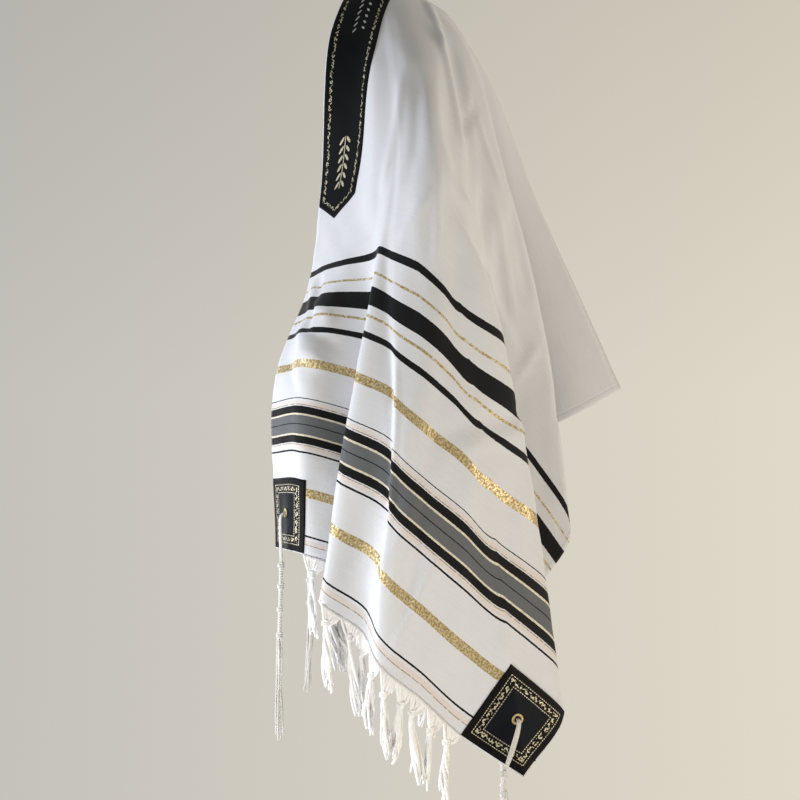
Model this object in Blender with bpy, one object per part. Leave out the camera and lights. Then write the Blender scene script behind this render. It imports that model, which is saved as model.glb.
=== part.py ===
"""Prayer shawl (tallit) worn over the head, hollow, with stripes, corner patches and fringes.

Metres. +Z is up, -Y is the way the wearer looks, +X is the wearer's left.
The origin is the point inside the top of the shawl that rests on the crown of the head.

The shawl is one rectangle of cloth. Flat, it is measured by u (from the centre line,
left side positive, to the two short fringed edges) and v (from the front long edge, which
frames the face, to the back hem). Each row of the fold table is one straight line on the
flat cloth, from the line over the crown to the border. It says where that line lies on
the head, the shoulder and the elbow, and where it ends. How far it hangs down is worked
out from its length on the flat cloth, so the cloth keeps its own sizes in its folds.
"""
import math

import bmesh
import bpy
import numpy as np

# ---------------------------------------------------------------- sizes of the cut pieces
LENGTH = 1.830             # short edge to short edge, without the fringe
WIDTH = 0.820              # front long edge to back hem
CLOTH_WALL = 0.0012
SEAM_GAP = 0.0004          # space between two pieces that lie on each other

BAND_WIDTH = 0.085         # neckband, from the front edge back
BAND_HALF = 0.360          # from its middle to where its pointed end begins
BAND_POINT = 0.030         # length of the pointed end
BAND_INSET = 0.0015        # neckband starts this far behind the front edge
BAND_WALL = 0.0012

PATCH_SIDE = 0.110         # square corner patch
PATCH_INSET = 0.0015
PATCH_WALL = 0.0012
HOLE_FROM_EDGES = 0.058    # tassel hole, from the two edges at its corner

EYELET_OUTER = 0.0075      # stitched ring round a tassel hole
EYELET_INNER = 0.0042
EYELET_HIGH = 0.0012

FRINGE_FOLDS = ("front_panel", "side_back")  # fold lines the fringe starts and ends at
FRINGE_PIECES = 2          # pieces of the strip for each cloth column, every second a lock
FRINGE_LONG = 0.108
STRIP_DEEP = 0.004         # woven strip that carries the locks
STRIP_GAP = 0.0013         # between the short edge and the strip
LOCK_THICK = 0.0070

TASSEL_LONG = 0.325
TASSEL_CORD = 0.0026       # radius of its twisted upper part
TASSEL_KNOTS = (0.24, 0.33, 0.43, 0.545)     # knots, as parts of its length
TASSEL_LOOSE = 0.575       # below this part of its length it is loose strands
TASSEL_SLIDES = {"left_front": 8, "left_back": -27, "right_front": 30, "right_back": 5}

# ---------------------------------------------------------------- how the cloth hangs (mm)
# Line over the crown, front to back: v on the cloth, then where it lies.
CROWN_NAMES = ("v", "y", "z")
CROWN_LINE = (
    (0, -84, -20),
    (40, -48, -3),
    (80, -9, 0),
    (126, 33, -16),
    (150, 54, -27),
)

# One row for each fold line, front edge first, centre back last.
#   v_top            where it leaves the line over the crown
#   u_s, v_s         where it is on the flat cloth beside the shoulder
#   u_end, v_end     where it ends on the flat cloth
#   give             length it hangs below the shoulder / length it is cut
#                    (bias stretches, crumples shorten)
#   x, y, z _h       on the side of the head;  _s beside the shoulder
#   x, y _w, _e      a quarter and half way down the rest;   _f at its end
FOLD_NAMES = ("name", "v_top", "u_s", "v_s", "u_end", "v_end", "give", "x_h", "y_h", "z_h",
              "x_s", "y_s", "z_s", "x_w", "y_w", "x_e", "y_e", "x_f", "y_f")
FOLDS = (
    ("front_edge", 0, 343, 0, 915, 0, 0.925,
     80, -104, -90, 108, -117, -334, 138, -132, 165, -173, 118, -180),
    ("front_panel", 30, 341, 85, 915, 112, 0.95,
     79, -61, -80, 158, -61, -318, 190, -86, 222, -125, 200, -134),
    ("front_valley", 46, 354, 130, 915, 250, 1.05,
     75, -39, -66, 197, -34, -302, 210, -38, 208, -40, 150, -14),
    ("front_ridge", 52, 357, 165, 915, 388, 1.035,
     73, -28, -60, 215, -12, -296, 233, -33, 252, -62, 232, -111),
    ("pleat_valley", 62, 359, 172, 915, 475, 1.055,
     71, -20, -55, 219, -5, -293, 238, -18, 260, -14, 224, -50),
    ("pleat_ridge", 68, 358, 179, 915, 525, 1.08,
     70, -15, -53, 223, 1, -290, 246, -5, 270, -2, 244, -30),
    ("side_panel", 78, 354, 206, 915, 625, 1.09,
     68, -4, -50, 231, 22, -288, 253, 26, 268, 32, 222, 29),
    ("side_back", 88, 342, 230, 915, 705, 1.10,
     65, 12, -50, 232, 44, -290, 249, 58, 250, 78, 186, 82),
    ("corner", 97, 335, 243, 915, 820, 1.09,
     61, 28, -53, 229, 56, -294, 236, 86, 222, 122, 150, 177),
    ("side_ridge", 103, 318, 255, 803, 820, 1.09,
     57, 40, -56, 222, 68, -298, 208, 130, 180, 175, 118, 238),
    ("side_valley", 110, 285, 335, 680, 820, 1.07,
     50, 58, -60, 158, 106, -312, 146, 122, 124, 132, 95, 165),
    ("back_ridge", 118, 226, 417, 480, 820, 1.05,
     40, 76, -66, 98, 164, -334, 87, 198, 75, 222, 54, 255),
    ("back_valley_1", 126, 171, 442, 330, 820, 1.00,
     28, 88, -74, 70, 128, -338, 76, 130, 82, 123, 91, 125),
    ("back_valley_2", 132, 122, 466, 215, 820, 1.00,
     18, 98, -84, 40, 130, -342, 41, 126, 42, 122, 35, 122),
    ("back_side", 140, 58, 496, 105, 820, 0.985,
     10, 106, -92, 24, 180, -346, 28, 198, 32, 212, 40, 242),
    ("centre_back", 150, 0, 517, 0, 820, 0.955,
     0, 112, -100, 0, 219, -350, 0, 249, 0, 279, 0, 338),
)
# What the wearer's right side does a little differently: shifts in mm, mirrored to -X.
RIGHT_NAMES = ("name", "dx_e", "dy_e", "dx_f", "dy_f")
RIGHT_SHIFTS = (
    ("front_edge", -6, 4, 6, 4),
    ("front_panel", -8, 6, -10, 6),
    ("front_valley", -12, 8, 6, 10),
    ("front_ridge", -10, 12, -14, 14),
    ("pleat_valley", -4, 10, 4, 16),
    ("pleat_ridge", -6, 8, -6, 14),
    ("side_panel", -6, -4, -8, 4),
    ("side_back", -10, -8, -10, -6),
    ("corner", -14, -10, -12, -12),
    ("side_ridge", -8, -12, -6, -14),
    ("side_valley", 6, 4, 8, -6),
    ("back_ridge", 6, -6, 8, -10),
    ("back_valley_1", -6, 4, -8, 2),
    ("back_valley_2", 4, 4, 6, 4),
    ("back_side", 4, -6, 6, -8),
)
# Cloth columns between each fold line and the next, and the steps down a fold line.
COLUMNS = (3, 4, 4, 2, 1, 3, 3, 3, 3, 4, 4, 4, 3, 3, 3)
STEPS_DOWN = (0, 0.35, 0.7, 1, 1.3, 1.65, 2, 2.35, 2.7, 3.0, 3.3, 3.6, 3.85, 4.05, 4.19,
              4.31, 4.42, 4.53, 4.63, 4.72, 4.8, 4.86, 4.91, 4.955, 5)


# ---------------------------------------------------------------- curves
def table_rows(names, rows):
    """Rows of a table as dictionaries, with the millimetres turned into metres."""
    out = []
    for row in rows:
        item = dict(zip(names, row))
        for key, value in item.items():
            if key not in ("name", "give"):
                item[key] = value / 1000.0
        out.append(item)
    return out


def smooth_tangents(points, knots):
    """Tangents of a smooth curve through the points, one for each point."""
    span = np.diff(knots)[:, None]
    slope = np.diff(points, axis=0) / span
    tangents = np.zeros_like(points)
    tangents[0] = slope[0]
    tangents[-1] = slope[-1]
    tangents[1:-1] = (slope[:-1] * span[1:] + slope[1:] * span[:-1]) / (span[1:] + span[:-1])
    return tangents


def curve_at(points, tangents, knots, t):
    """Points of the curve at t, where t = 0, 1, 2 ... are the given points."""
    i = np.clip(np.floor(t).astype(int), 0, len(points) - 2)
    f = (t - i)[:, None]
    span = (knots[i + 1] - knots[i])[:, None]
    return ((2 * f**3 - 3 * f**2 + 1) * points[i] + (f**3 - 2 * f**2 + f) * span * tangents[i]
            + (3 * f**2 - 2 * f**3) * points[i + 1] + (f**3 - f**2) * span * tangents[i + 1])


def lengths_along(points):
    """Distance from the first point, along the points."""
    return np.concatenate([[0.0], np.cumsum(np.linalg.norm(np.diff(points, axis=0), axis=1))])


def unit(a):
    """Vectors divided by their own length."""
    return a / np.maximum(np.linalg.norm(a, axis=-1, keepdims=True), 1e-12)


def crown_at(v):
    """Point of the line over the crown at v, and the way it runs there."""
    line = table_rows(CROWN_NAMES, CROWN_LINE)
    knots = np.array([row["v"] for row in line])
    points = np.array([(0.0, row["y"], row["z"]) for row in line])
    tangents = np.gradient(points, knots, axis=0)
    i = int(np.clip(np.searchsorted(knots, v, side="right") - 1, 0, len(knots) - 2))
    f = (v - knots[i]) / (knots[i + 1] - knots[i])
    point = curve_at(points, tangents, knots, np.array([i + f * 0.999999]))[0]
    way = tangents[i] * (1 - f) + tangents[i + 1] * f
    return point, way / np.linalg.norm(way)


def below(point, x, y, length):
    """Point at x, y that hangs below the given one by a straight length of cloth."""
    across = math.hypot(x - point[0], y - point[1])
    return np.array([x, y, point[2] - math.sqrt(max(length**2 - across**2, 0.0))])


def share_down(steps):
    """Share of the length below the shoulder that is used up at a step."""
    return np.interp(steps, (2, 3, 4, 5), (0, 0.25, 0.5, 1))


def fold_line(fold, steps):
    """Places in space and on the flat cloth of one fold line. In space it is one cubic
    through crown, head, shoulder, wrist, elbow and end. On the flat cloth it is straight
    to the shoulder and straight on to its end. The lower part hangs give times as long
    as it was cut: on the bias cloth stretches, and crumples shorten it."""
    top, crown_way = crown_at(fold["v_top"])
    head = np.array([fold["x_h"], fold["y_h"], fold["z_h"]])
    shoulder = np.array([fold["x_s"], fold["y_s"], fold["z_s"]])
    on_head = np.linalg.norm(head - top) * 1.08
    knots = np.array([0.0, on_head, on_head + np.linalg.norm(shoulder - head)])
    upper = np.array([top, head, shoulder])
    leave = np.array([fold["u_s"], 0.0, 0.0]) + crown_way * (fold["v_s"] - fold["v_top"])
    leave = unit(leave)
    tangents = smooth_tangents(upper, knots)
    tangents[0] = leave
    fine_steps = np.linspace(0, 2, 81)
    along = lengths_along(curve_at(upper, tangents, knots, fine_steps))
    flat_top = np.array([0.0, fold["v_top"]])
    flat_bend = np.array([fold["u_s"], fold["v_s"]])
    flat_end = np.array([fold["u_end"], fold["v_end"]])
    rest = np.linalg.norm(flat_end - flat_bend) * fold["give"]
    wrist = below(shoulder, fold["x_w"], fold["y_w"], rest / 4)
    elbow = below(wrist, fold["x_e"], fold["y_e"], rest / 4)
    foot = below(elbow, fold["x_f"], fold["y_f"], rest / 2)
    points = np.array([top, head, shoulder, wrist, elbow, foot])
    knots = np.append(knots, knots[2] + rest * np.array([0.25, 0.5, 1.0]))
    tangents = smooth_tangents(points, knots)
    tangents[0] = leave
    place = curve_at(points, tangents, knots, steps)
    used = (np.interp(steps, fine_steps, along) / along[-1])[:, None]
    flat = flat_top + used * (flat_bend - flat_top)
    return place, flat + share_down(steps)[:, None] * (flat_end - flat_bend)


def half_cloth(folds, steps, columns):
    """Grid of places and flat places for one half: steps down by columns across.

    Across the fold lines the cloth is one smooth curve, but for its own square corner.
    """
    lines = [fold_line(fold, steps) for fold in folds]
    corner = [fold["name"] for fold in folds].index("corner")
    grid, flat = [], []
    for step in range(len(steps)):
        points = np.array([line[0][step] for line in lines])
        flat_points = np.array([line[1][step] for line in lines])
        apart = np.maximum(np.linalg.norm(np.diff(points, axis=0), axis=1), 1e-5)
        knots = np.concatenate([[0.0], np.cumsum(np.sqrt(apart))])
        slope = np.diff(points, axis=0) / np.diff(knots)[:, None]
        arrive = smooth_tangents(points, knots)
        leave = arrive.copy()
        sharp = np.clip((share_down(steps[step]) - 0.2) / 0.8, 0, 1) ** 2
        arrive[corner] += (slope[corner - 1] - arrive[corner]) * sharp
        leave[corner] += (slope[corner] - leave[corner]) * sharp
        row, flat_row = [points[:1]], [flat_points[:1]]
        for i, count in enumerate(columns):
            ends = np.array([leave[i], arrive[i + 1]])
            fine = curve_at(points[i:i + 2], ends, knots[i:i + 2], np.linspace(0, 0.999999, 25))
            along = lengths_along(fine)
            share = np.arange(1, count + 1)[:, None] / count
            row.append(np.stack([np.interp(share[:, 0] * along[-1], along, fine[:, k])
                                 for k in range(3)], axis=1))
            flat_row.append(flat_points[i] + share * (flat_points[i + 1] - flat_points[i]))
        grid.append(np.concatenate(row))
        flat.append(np.concatenate(flat_row))
    return np.array(grid), np.array(flat)


def right_folds():
    """The fold table with the shifts of the wearer's right side."""
    shifts = {row["name"]: row for row in table_rows(RIGHT_NAMES, RIGHT_SHIFTS)}
    folds = table_rows(FOLD_NAMES, FOLDS)
    for fold in folds:
        shift = shifts.get(fold["name"])
        if shift:
            for key in ("x_e", "y_e", "x_f", "y_f"):
                fold[key] += shift["d" + key]
            fold["x_w"] += shift["dx_e"] / 2
            fold["y_w"] += shift["dy_e"] / 2
    return folds


# ---------------------------------------------------------------- the cloth as one layer
def vertex_normals(points, faces):
    """Outward direction at each point, averaged over its triangles by area."""
    a, b, c = (points[faces[:, k]] for k in range(3))
    face_way = np.cross(b - a, c - a)
    ways = np.zeros_like(points)
    for k in range(3):
        np.add.at(ways, faces[:, k], face_way)
    return ways / np.maximum(np.linalg.norm(ways, axis=1, keepdims=True), 1e-12)


def cloth_layer():
    """Points, flat places, triangles and outward directions of the middle of the cloth."""
    steps = np.array(STEPS_DOWN, dtype=float)
    left, left_flat = half_cloth(table_rows(FOLD_NAMES, FOLDS), steps, COLUMNS)
    right, right_flat = half_cloth(right_folds(), steps, COLUMNS)
    right = right * np.array([-1.0, 1.0, 1.0])
    right_flat = right_flat * np.array([-1.0, 1.0])
    down, across = left.shape[:2]
    left_ids = np.arange(down * across).reshape(down, across)
    right_ids = left_ids.copy()
    own = right_ids[1:, :-1]
    right_ids[1:, :-1] = down * across + np.arange(own.size).reshape(own.shape)
    points = np.concatenate([left.reshape(-1, 3), right[1:, :-1].reshape(-1, 3)])
    flat = np.concatenate([left_flat.reshape(-1, 2), right_flat[1:, :-1].reshape(-1, 2)])
    faces = []
    for ids, turn in ((left_ids, 1), (right_ids, -1)):
        a, b = ids[:-1, :-1].ravel(), ids[:-1, 1:].ravel()
        c, d = ids[1:, 1:].ravel(), ids[1:, :-1].ravel()
        two = np.concatenate([np.stack([a, d, b], 1), np.stack([d, c, b], 1)])
        faces.append(two if turn > 0 else two[:, ::-1])
    faces = np.concatenate(faces)
    return points, flat, faces, vertex_normals(points, faces)


def layer_solid(points, ways, faces, low, high):
    """Closed solid between the layer moved out by low and the same layer moved by high."""
    count = len(points)
    corners = np.concatenate([points + ways * high, points + ways * low])
    edges = {}
    for face in faces:
        for k in range(3):
            edges[(int(face[k]), int(face[(k + 1) % 3]))] = True
    rims = [(a, b) for a, b in edges if (b, a) not in edges]
    outer = [tuple(int(i) for i in face) for face in faces]
    inner = [tuple(int(i) + count for i in face[::-1]) for face in faces]
    sides = [(b, a, a + count, b + count) for a, b in rims]
    return corners, outer + inner + sides


def cut_out(layer, planes):
    """The part of the layer inside straight lines drawn on the flat cloth.

    Each plane is (u, v, out_u, out_v): a point of the line and the way out of the piece.
    The piece keeps the cloth's own points, so it lies flat on the cloth.
    """
    points, flat, faces, ways = layer
    mesh = bmesh.new()
    place = mesh.verts.layers.float_vector.new("place")
    outward = mesh.verts.layers.float_vector.new("outward")
    verts = []
    for point, spot, way in zip(points, flat, ways):
        vert = mesh.verts.new((spot[0], spot[1], 0.0))
        vert[place] = point
        vert[outward] = way
        verts.append(vert)
    for face in faces:
        mesh.faces.new([verts[i] for i in face])
    for u, v, out_u, out_v in planes:
        bmesh.ops.bisect_plane(mesh, geom=mesh.verts[:] + mesh.edges[:] + mesh.faces[:],
                               plane_co=(u, v, 0), plane_no=(out_u, out_v, 0),
                               dist=1e-6, clear_outer=True)
    bmesh.ops.remove_doubles(mesh, verts=mesh.verts[:], dist=2e-5)
    bmesh.ops.triangulate(mesh, faces=mesh.faces[:])
    mesh.verts.index_update()
    piece = (np.array([vert[place] for vert in mesh.verts]),
             np.array([vert.co[:2] for vert in mesh.verts]),
             np.array([[v.index for v in face.verts] for face in mesh.faces]),
             np.array([vert[outward] for vert in mesh.verts]))
    mesh.free()
    return piece


def on_cloth(layer, u, v):
    """Place on the cloth at a flat place, and the outward direction there."""
    points, flat, faces, ways = layer
    a, b, c = (flat[faces[:, k]] for k in range(3))
    spot = np.array([u, v])
    area = (b[:, 0] - a[:, 0]) * (c[:, 1] - a[:, 1]) - (c[:, 0] - a[:, 0]) * (b[:, 1] - a[:, 1])
    area = np.where(np.abs(area) < 1e-14, 1e-14, area)
    w_b = ((spot[0] - a[:, 0]) * (c[:, 1] - a[:, 1])
           - (c[:, 0] - a[:, 0]) * (spot[1] - a[:, 1])) / area
    w_c = ((b[:, 0] - a[:, 0]) * (spot[1] - a[:, 1])
           - (spot[0] - a[:, 0]) * (b[:, 1] - a[:, 1])) / area
    weights = np.stack([1 - w_b - w_c, w_b, w_c], axis=1)
    best = int(np.argmax(weights.min(axis=1)))
    place = weights[best] @ points[faces[best]]
    way = weights[best] @ ways[faces[best]]
    return place, way / np.linalg.norm(way)


# ---------------------------------------------------------------- making objects
def material(name, colour, roughness=0.85, metallic=0.0):
    """A plain material of its own for one sub-part."""
    made = bpy.data.materials.new(name)
    made.use_nodes = True
    shader = made.node_tree.nodes["Principled BSDF"]
    shader.inputs["Base Color"].default_value = (*colour, 1.0)
    shader.inputs["Roughness"].default_value = roughness
    shader.inputs["Metallic"].default_value = metallic
    return made


def add_piece(name, corners, faces, finish):
    """One named closed object, with its faces turned outward."""
    mesh = bpy.data.meshes.new(name)
    mesh.from_pydata([tuple(c) for c in corners], [], faces)
    work = bmesh.new()
    work.from_mesh(mesh)
    bmesh.ops.recalc_face_normals(work, faces=work.faces[:])
    if work.calc_volume(signed=True) < 0:
        bmesh.ops.reverse_faces(work, faces=work.faces[:])
    work.to_mesh(mesh)
    work.free()
    mesh.validate()
    mesh.materials.append(finish)
    made = bpy.data.objects.new(name, mesh)
    bpy.context.scene.collection.objects.link(made)
    return made


def frame_along(points):
    """Two directions square to a hanging line at each of its points."""
    ahead = np.gradient(points, axis=0)
    ahead /= np.linalg.norm(ahead, axis=1, keepdims=True)
    side = np.zeros_like(points)
    turn = np.zeros_like(points)
    last = np.array([1.0, 0.0, 0.0])
    for i, way in enumerate(ahead):
        last = last - way * (last @ way)
        last = last / np.linalg.norm(last)
        side[i] = last
        turn[i] = np.cross(way, last)
    return side, turn


# ---------------------------------------------------------------- sewn-on pieces
def neckband_planes():
    """Straight lines on the flat cloth round the neckband and its two pointed ends."""
    middle = BAND_INSET + BAND_WIDTH / 2
    planes = [(0, BAND_INSET, 0, -1), (0, BAND_INSET + BAND_WIDTH, 0, 1)]
    for side in (1, -1):
        tip = side * (BAND_HALF + BAND_POINT)
        planes.append((tip, middle, side * BAND_WIDTH / 2, BAND_POINT))
        planes.append((tip, middle, side * BAND_WIDTH / 2, -BAND_POINT))
    return planes


def patch_corners():
    """Name, side and v of the outer corner of each of the four patches."""
    return (("left_front", 1, 0.0), ("left_back", 1, WIDTH),
            ("right_front", -1, 0.0), ("right_back", -1, WIDTH))


def patch_planes(side, v_corner):
    """Straight lines on the flat cloth round the patch at one corner."""
    u_out = LENGTH / 2 - PATCH_INSET
    inward = 1 if v_corner == 0 else -1
    v_out = v_corner + inward * PATCH_INSET
    return [(side * u_out, v_out, side, 0),
            (side * (u_out - PATCH_SIDE), v_out, -side, 0),
            (side * u_out, v_out, 0, -inward),
            (side * u_out, v_out + inward * PATCH_SIDE, 0, inward)]


def hole_place(layer, side, v_corner):
    """Place and outward direction of the tassel hole of a patch."""
    inward = 1 if v_corner == 0 else -1
    return on_cloth(layer, side * (LENGTH / 2 - HOLE_FROM_EDGES),
                    v_corner + inward * HOLE_FROM_EDGES)


PATCH_TOP = CLOTH_WALL / 2 + SEAM_GAP + PATCH_WALL


def add_eyelet(name, layer, side, v_corner, finish, sides=14):
    """Stitched ring that lies on the patch round its hole, made from the cloth's places."""
    inward = 1 if v_corner == 0 else -1
    u_hole = side * (LENGTH / 2 - HOLE_FROM_EDGES)
    v_hole = v_corner + inward * HOLE_FROM_EDGES
    low = PATCH_TOP + 0.0006
    section = ((EYELET_OUTER, low), (EYELET_OUTER, low + EYELET_HIGH * 0.6),
               (EYELET_OUTER * 0.8, low + EYELET_HIGH), (EYELET_INNER, low + EYELET_HIGH * 0.6),
               (EYELET_INNER, low))
    corners, faces = [], []
    for i in range(sides):
        angle = 2 * math.pi * i / sides
        for radius, height in section:
            place, way = on_cloth(layer, u_hole + radius * math.cos(angle),
                                  v_hole + radius * math.sin(angle))
            corners.append(place + way * height)
    many = len(section)
    for i in range(sides):
        j = (i + 1) % sides
        for k in range(many):
            m = (k + 1) % many
            faces.append((i * many + k, j * many + k, j * many + m, i * many + m))
    return add_piece(name, corners, faces, finish)


def tassel_line(place, way, slide, sway, count):
    """Line of a corner tassel: out of its hole, slanting over the patch by slide (towards
    the back) as far as its first knot, then straight down."""
    start = place + way * (PATCH_TOP + 0.0008)
    over = way * np.array([1.0, 1.0, 0.0])
    over /= max(np.linalg.norm(over), 1e-6)
    t = np.linspace(0, 1, count)[:, None]
    drop = t * TASSEL_LONG
    reach = 0.0040 * (1 - np.exp(-drop / 0.006)) + 0.004 * t
    side = np.cross(np.array([0.0, 0.0, 1.0]), over)
    side = side * math.copysign(1.0, side[1])
    wave = 0.004 * np.sin(t * 5.2 + sway) * t + slide * np.minimum(t / TASSEL_KNOTS[0], 1.0) ** 1.3
    early = way * 0.0042 * (1 - np.exp(-drop / 0.003))
    fall = np.array([0.0, 0.0, -1.0]) * (drop - 0.005 * (1 - np.exp(-drop / 0.008)))
    return start + early + over * reach + side * wave + fall


def square_ring(middle, side, turn, radius):
    """Twelve points round a line, numbered as the border of a three by three grid."""
    angles = np.radians([225, 255, 285, 315, 345, 15, 45, 75, 105, 135, 165, 195])
    return [middle + (side * math.cos(a) + turn * math.sin(a)) * radius for a in angles]


def add_tassel(name, place, way, slide, sway, finish):
    """Corner tassel: a twisted cord with knots, whose end opens into four strands."""
    rings = 19
    loose = TASSEL_LOOSE
    line = tassel_line(place, way, slide, sway, 200)
    side_all, turn_all = frame_along(line)
    stops = [0.0, 0.012, 0.03, 0.06, 0.12, 0.18]
    for knot in TASSEL_KNOTS:
        stops += [knot - 0.016, knot, knot + 0.016]
    stops += [loose]
    stops = sorted(stops)
    corners, faces = [], []
    for stop in stops:
        i = int(round(stop * 199))
        radius = TASSEL_CORD
        if any(abs(stop - knot) < 0.001 for knot in TASSEL_KNOTS):
            radius = TASSEL_CORD * 1.9
        if stop == loose:
            radius = TASSEL_CORD * 1.7
        corners += square_ring(line[i], side_all[i], turn_all[i], radius)
    for ring in range(len(stops) - 1):
        for k in range(12):
            m = (k + 1) % 12
            faces.append((ring * 12 + k, ring * 12 + m, ring * 12 + 12 + m, ring * 12 + 12 + k))
    faces.append(tuple(range(11, -1, -1)))
    # The lower end as a three by three grid, whose corner cells grow into strands.
    base = (len(stops) - 1) * 12
    end = int(round(loose * 199))
    inner = len(corners)
    for angle in (225, 315, 45, 135):
        a = math.radians(angle)
        corners.append(line[end] + (side_all[end] * math.cos(a) + turn_all[end] * math.sin(a))
                       * TASSEL_CORD * 0.6)
    ring = [base + k for k in range(12)]
    cells = ((ring[0], ring[1], inner, ring[11]), (ring[2], ring[3], ring[4], inner + 1),
             (inner + 2, ring[5], ring[6], ring[7]), (ring[9], ring[10], inner + 3, ring[8]))
    faces.append((ring[1], ring[2], inner + 1, inner))
    faces.append((inner + 1, ring[4], ring[5], inner + 2))
    faces.append((inner + 3, inner + 2, ring[7], ring[8]))
    faces.append((ring[11], inner, inner + 3, ring[10]))
    faces.append((inner, inner + 1, inner + 2, inner + 3))
    for number, cell in enumerate(cells):
        root = [corners[i] for i in cell]
        middle = sum(root) / 4
        lean = middle - line[end]
        last = list(cell)
        for part in (0.25, 0.5, 0.75, 1.0):
            i = min(int(round((loose + (1 - loose) * part * (1 - 0.03 * number)) * 199)), 199)
            spread = 1.0 + 1.1 * part + 0.5 * math.sin(2.3 * part + number * 1.7 + sway) * part
            size = 0.9 - 0.35 * part
            centre = line[i] + lean * spread
            new = []
            for point in root:
                new.append(len(corners))
                corners.append(centre + (point - middle) * size)
            for k in range(4):
                m = (k + 1) % 4
                faces.append((last[k], last[m], new[m], new[k]))
            last = new
        faces.append(tuple(last))
    return add_piece(name, corners, faces, finish)


def fringe_spots():
    """v of the ends of the strip's pieces, which share the cloth's own edge points."""
    folds = table_rows(FOLD_NAMES, FOLDS)
    first, last = ([fold["name"] for fold in folds].index(name) for name in FRINGE_FOLDS)
    spots = [folds[first]["v_end"]]
    for i in range(first, last):
        start, end = folds[i]["v_end"], folds[i + 1]["v_end"]
        count = COLUMNS[i] * FRINGE_PIECES
        spots += [start + (end - start) * (k + 1) / count for k in range(count)]
    return spots


def add_fringe(name, layer, side, finish):
    """Woven strip below one short edge, with a tied lock from every second piece of it."""
    spots = fringe_spots()
    pieces = len(spots) - 1
    edge, inner_edge, outward = [], [], []
    for v in spots:
        place, way = on_cloth(layer, side * (LENGTH / 2 - 1e-6), v)
        above, _ = on_cloth(layer, side * (LENGTH / 2 - 0.012), v)
        edge.append(place)
        inner_edge.append(above)
        outward.append(way)
    edge, outward = np.array(edge), np.array(outward)
    down = edge - np.array(inner_edge)
    down /= np.linalg.norm(down, axis=1, keepdims=True)
    top = edge + down * STRIP_GAP
    bottom = edge + down * (STRIP_GAP + STRIP_DEEP)
    half = outward * CLOTH_WALL / 2
    corners, faces = [], []
    for i in range(pieces + 1):
        corners += [top[i] + half[i], top[i] - half[i], bottom[i] - half[i], bottom[i] + half[i]]
    faces.append((0, 1, 2, 3))
    for i in range(pieces):
        a, b = i * 4, i * 4 + 4
        faces += [(a, a + 1, b + 1, b), (a + 1, a + 2, b + 2, b + 1), (a + 3, a, b, b + 3)]
        root = (a + 2, a + 3, b + 3, b + 2)
        if i % 2 == 0:
            faces.append(root)
            continue
        lock = i // 2
        along = edge[i + 1] - edge[i]
        along /= np.linalg.norm(along)
        middle = (bottom[i] + bottom[i + 1]) / 2
        way = (outward[i] + outward[i + 1]) / 2
        long = FRINGE_LONG * (0.93 + 0.10 * math.sin(lock * 2.4 + side))
        swing = 0.0032 * math.sin(lock * 1.7 + 0.6 * side)
        last = list(root)
        for part, thick in ((0.07, 0.75), (0.16, 1.25), (0.24, 0.8), (0.62, 1.1), (1.0, 0.45)):
            blend = min(part / 0.25, 1.0)
            lead = down[i] * (1 - blend) + np.array([0.0, 0.0, -1.0]) * blend
            centre = middle + lead * long * part + along * swing * math.sin(part * 3.1 + lock)
            centre = centre + way * 0.002 * math.sin(part * 4.0 + lock * 2.2)
            new = []
            wide = along * LOCK_THICK / 2 * thick
            deep = way * LOCK_THICK / 2 * thick
            for a_sign, d_sign in ((-1, -1), (-1, 1), (1, 1), (1, -1)):
                new.append(len(corners))
                corners.append(centre + wide * a_sign + deep * d_sign)
            for k in range(4):
                m = (k + 1) % 4
                faces.append((last[k], last[m], new[m], new[k]))
            last = new
        faces.append(tuple(last))
    a = pieces * 4
    faces.append((a + 3, a + 2, a + 1, a))
    return add_piece(name, corners, faces, finish)


# ---------------------------------------------------------------- the whole shawl
def build():
    """Empty the scene and make every piece of the shawl."""
    for old in list(bpy.data.objects):
        bpy.data.objects.remove(old, do_unlink=True)
    white = (0.90, 0.90, 0.92)
    layer = cloth_layer()
    corners, faces = layer_solid(layer[0], layer[3], layer[2], -CLOTH_WALL / 2, CLOTH_WALL / 2)
    add_piece("cloth", corners, faces, material("woven_cloth", white))

    low = CLOTH_WALL / 2 + SEAM_GAP
    band = cut_out(layer, neckband_planes())
    corners, faces = layer_solid(band[0], band[3], band[2], low, low + BAND_WALL)
    add_piece("neckband", corners, faces, material("neckband_satin", (0.012, 0.012, 0.014), 0.5))

    for number, (corner, side, v_corner) in enumerate(patch_corners()):
        patch = cut_out(layer, patch_planes(side, v_corner))
        corners, faces = layer_solid(patch[0], patch[3], patch[2], low, low + PATCH_WALL)
        add_piece("patch_" + corner, corners, faces,
                  material("patch_satin_" + corner, (0.012, 0.013, 0.017), 0.5))
        place, way = hole_place(layer, side, v_corner)
        add_eyelet("eyelet_" + corner, layer, side, v_corner,
                   material("eyelet_thread_" + corner, (0.55, 0.42, 0.18), 0.5))
        add_tassel("tassel_" + corner, place, way, TASSEL_SLIDES[corner] / 1000, 1.3 * number,
                   material("tassel_thread_" + corner, white, 0.9))
    for word, side in (("left", 1), ("right", -1)):
        add_fringe("fringe_" + word, layer, side, material("fringe_thread_" + word, white, 0.9))


build()
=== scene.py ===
# %% [markdown]
# # A prayer shawl worn over the head
# This lesson dresses a imported model of a tallit: one white striped rectangle of cloth that
# hangs from the crown of a head which isn't there. The imported solids are the fixed frame.
# Every visible piece is worked out here as a surface with two parameters and then
# attached to the frame in place of its solid, which is hidden, so it moves as the solid does.

# %% Load the frame
import math

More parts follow.
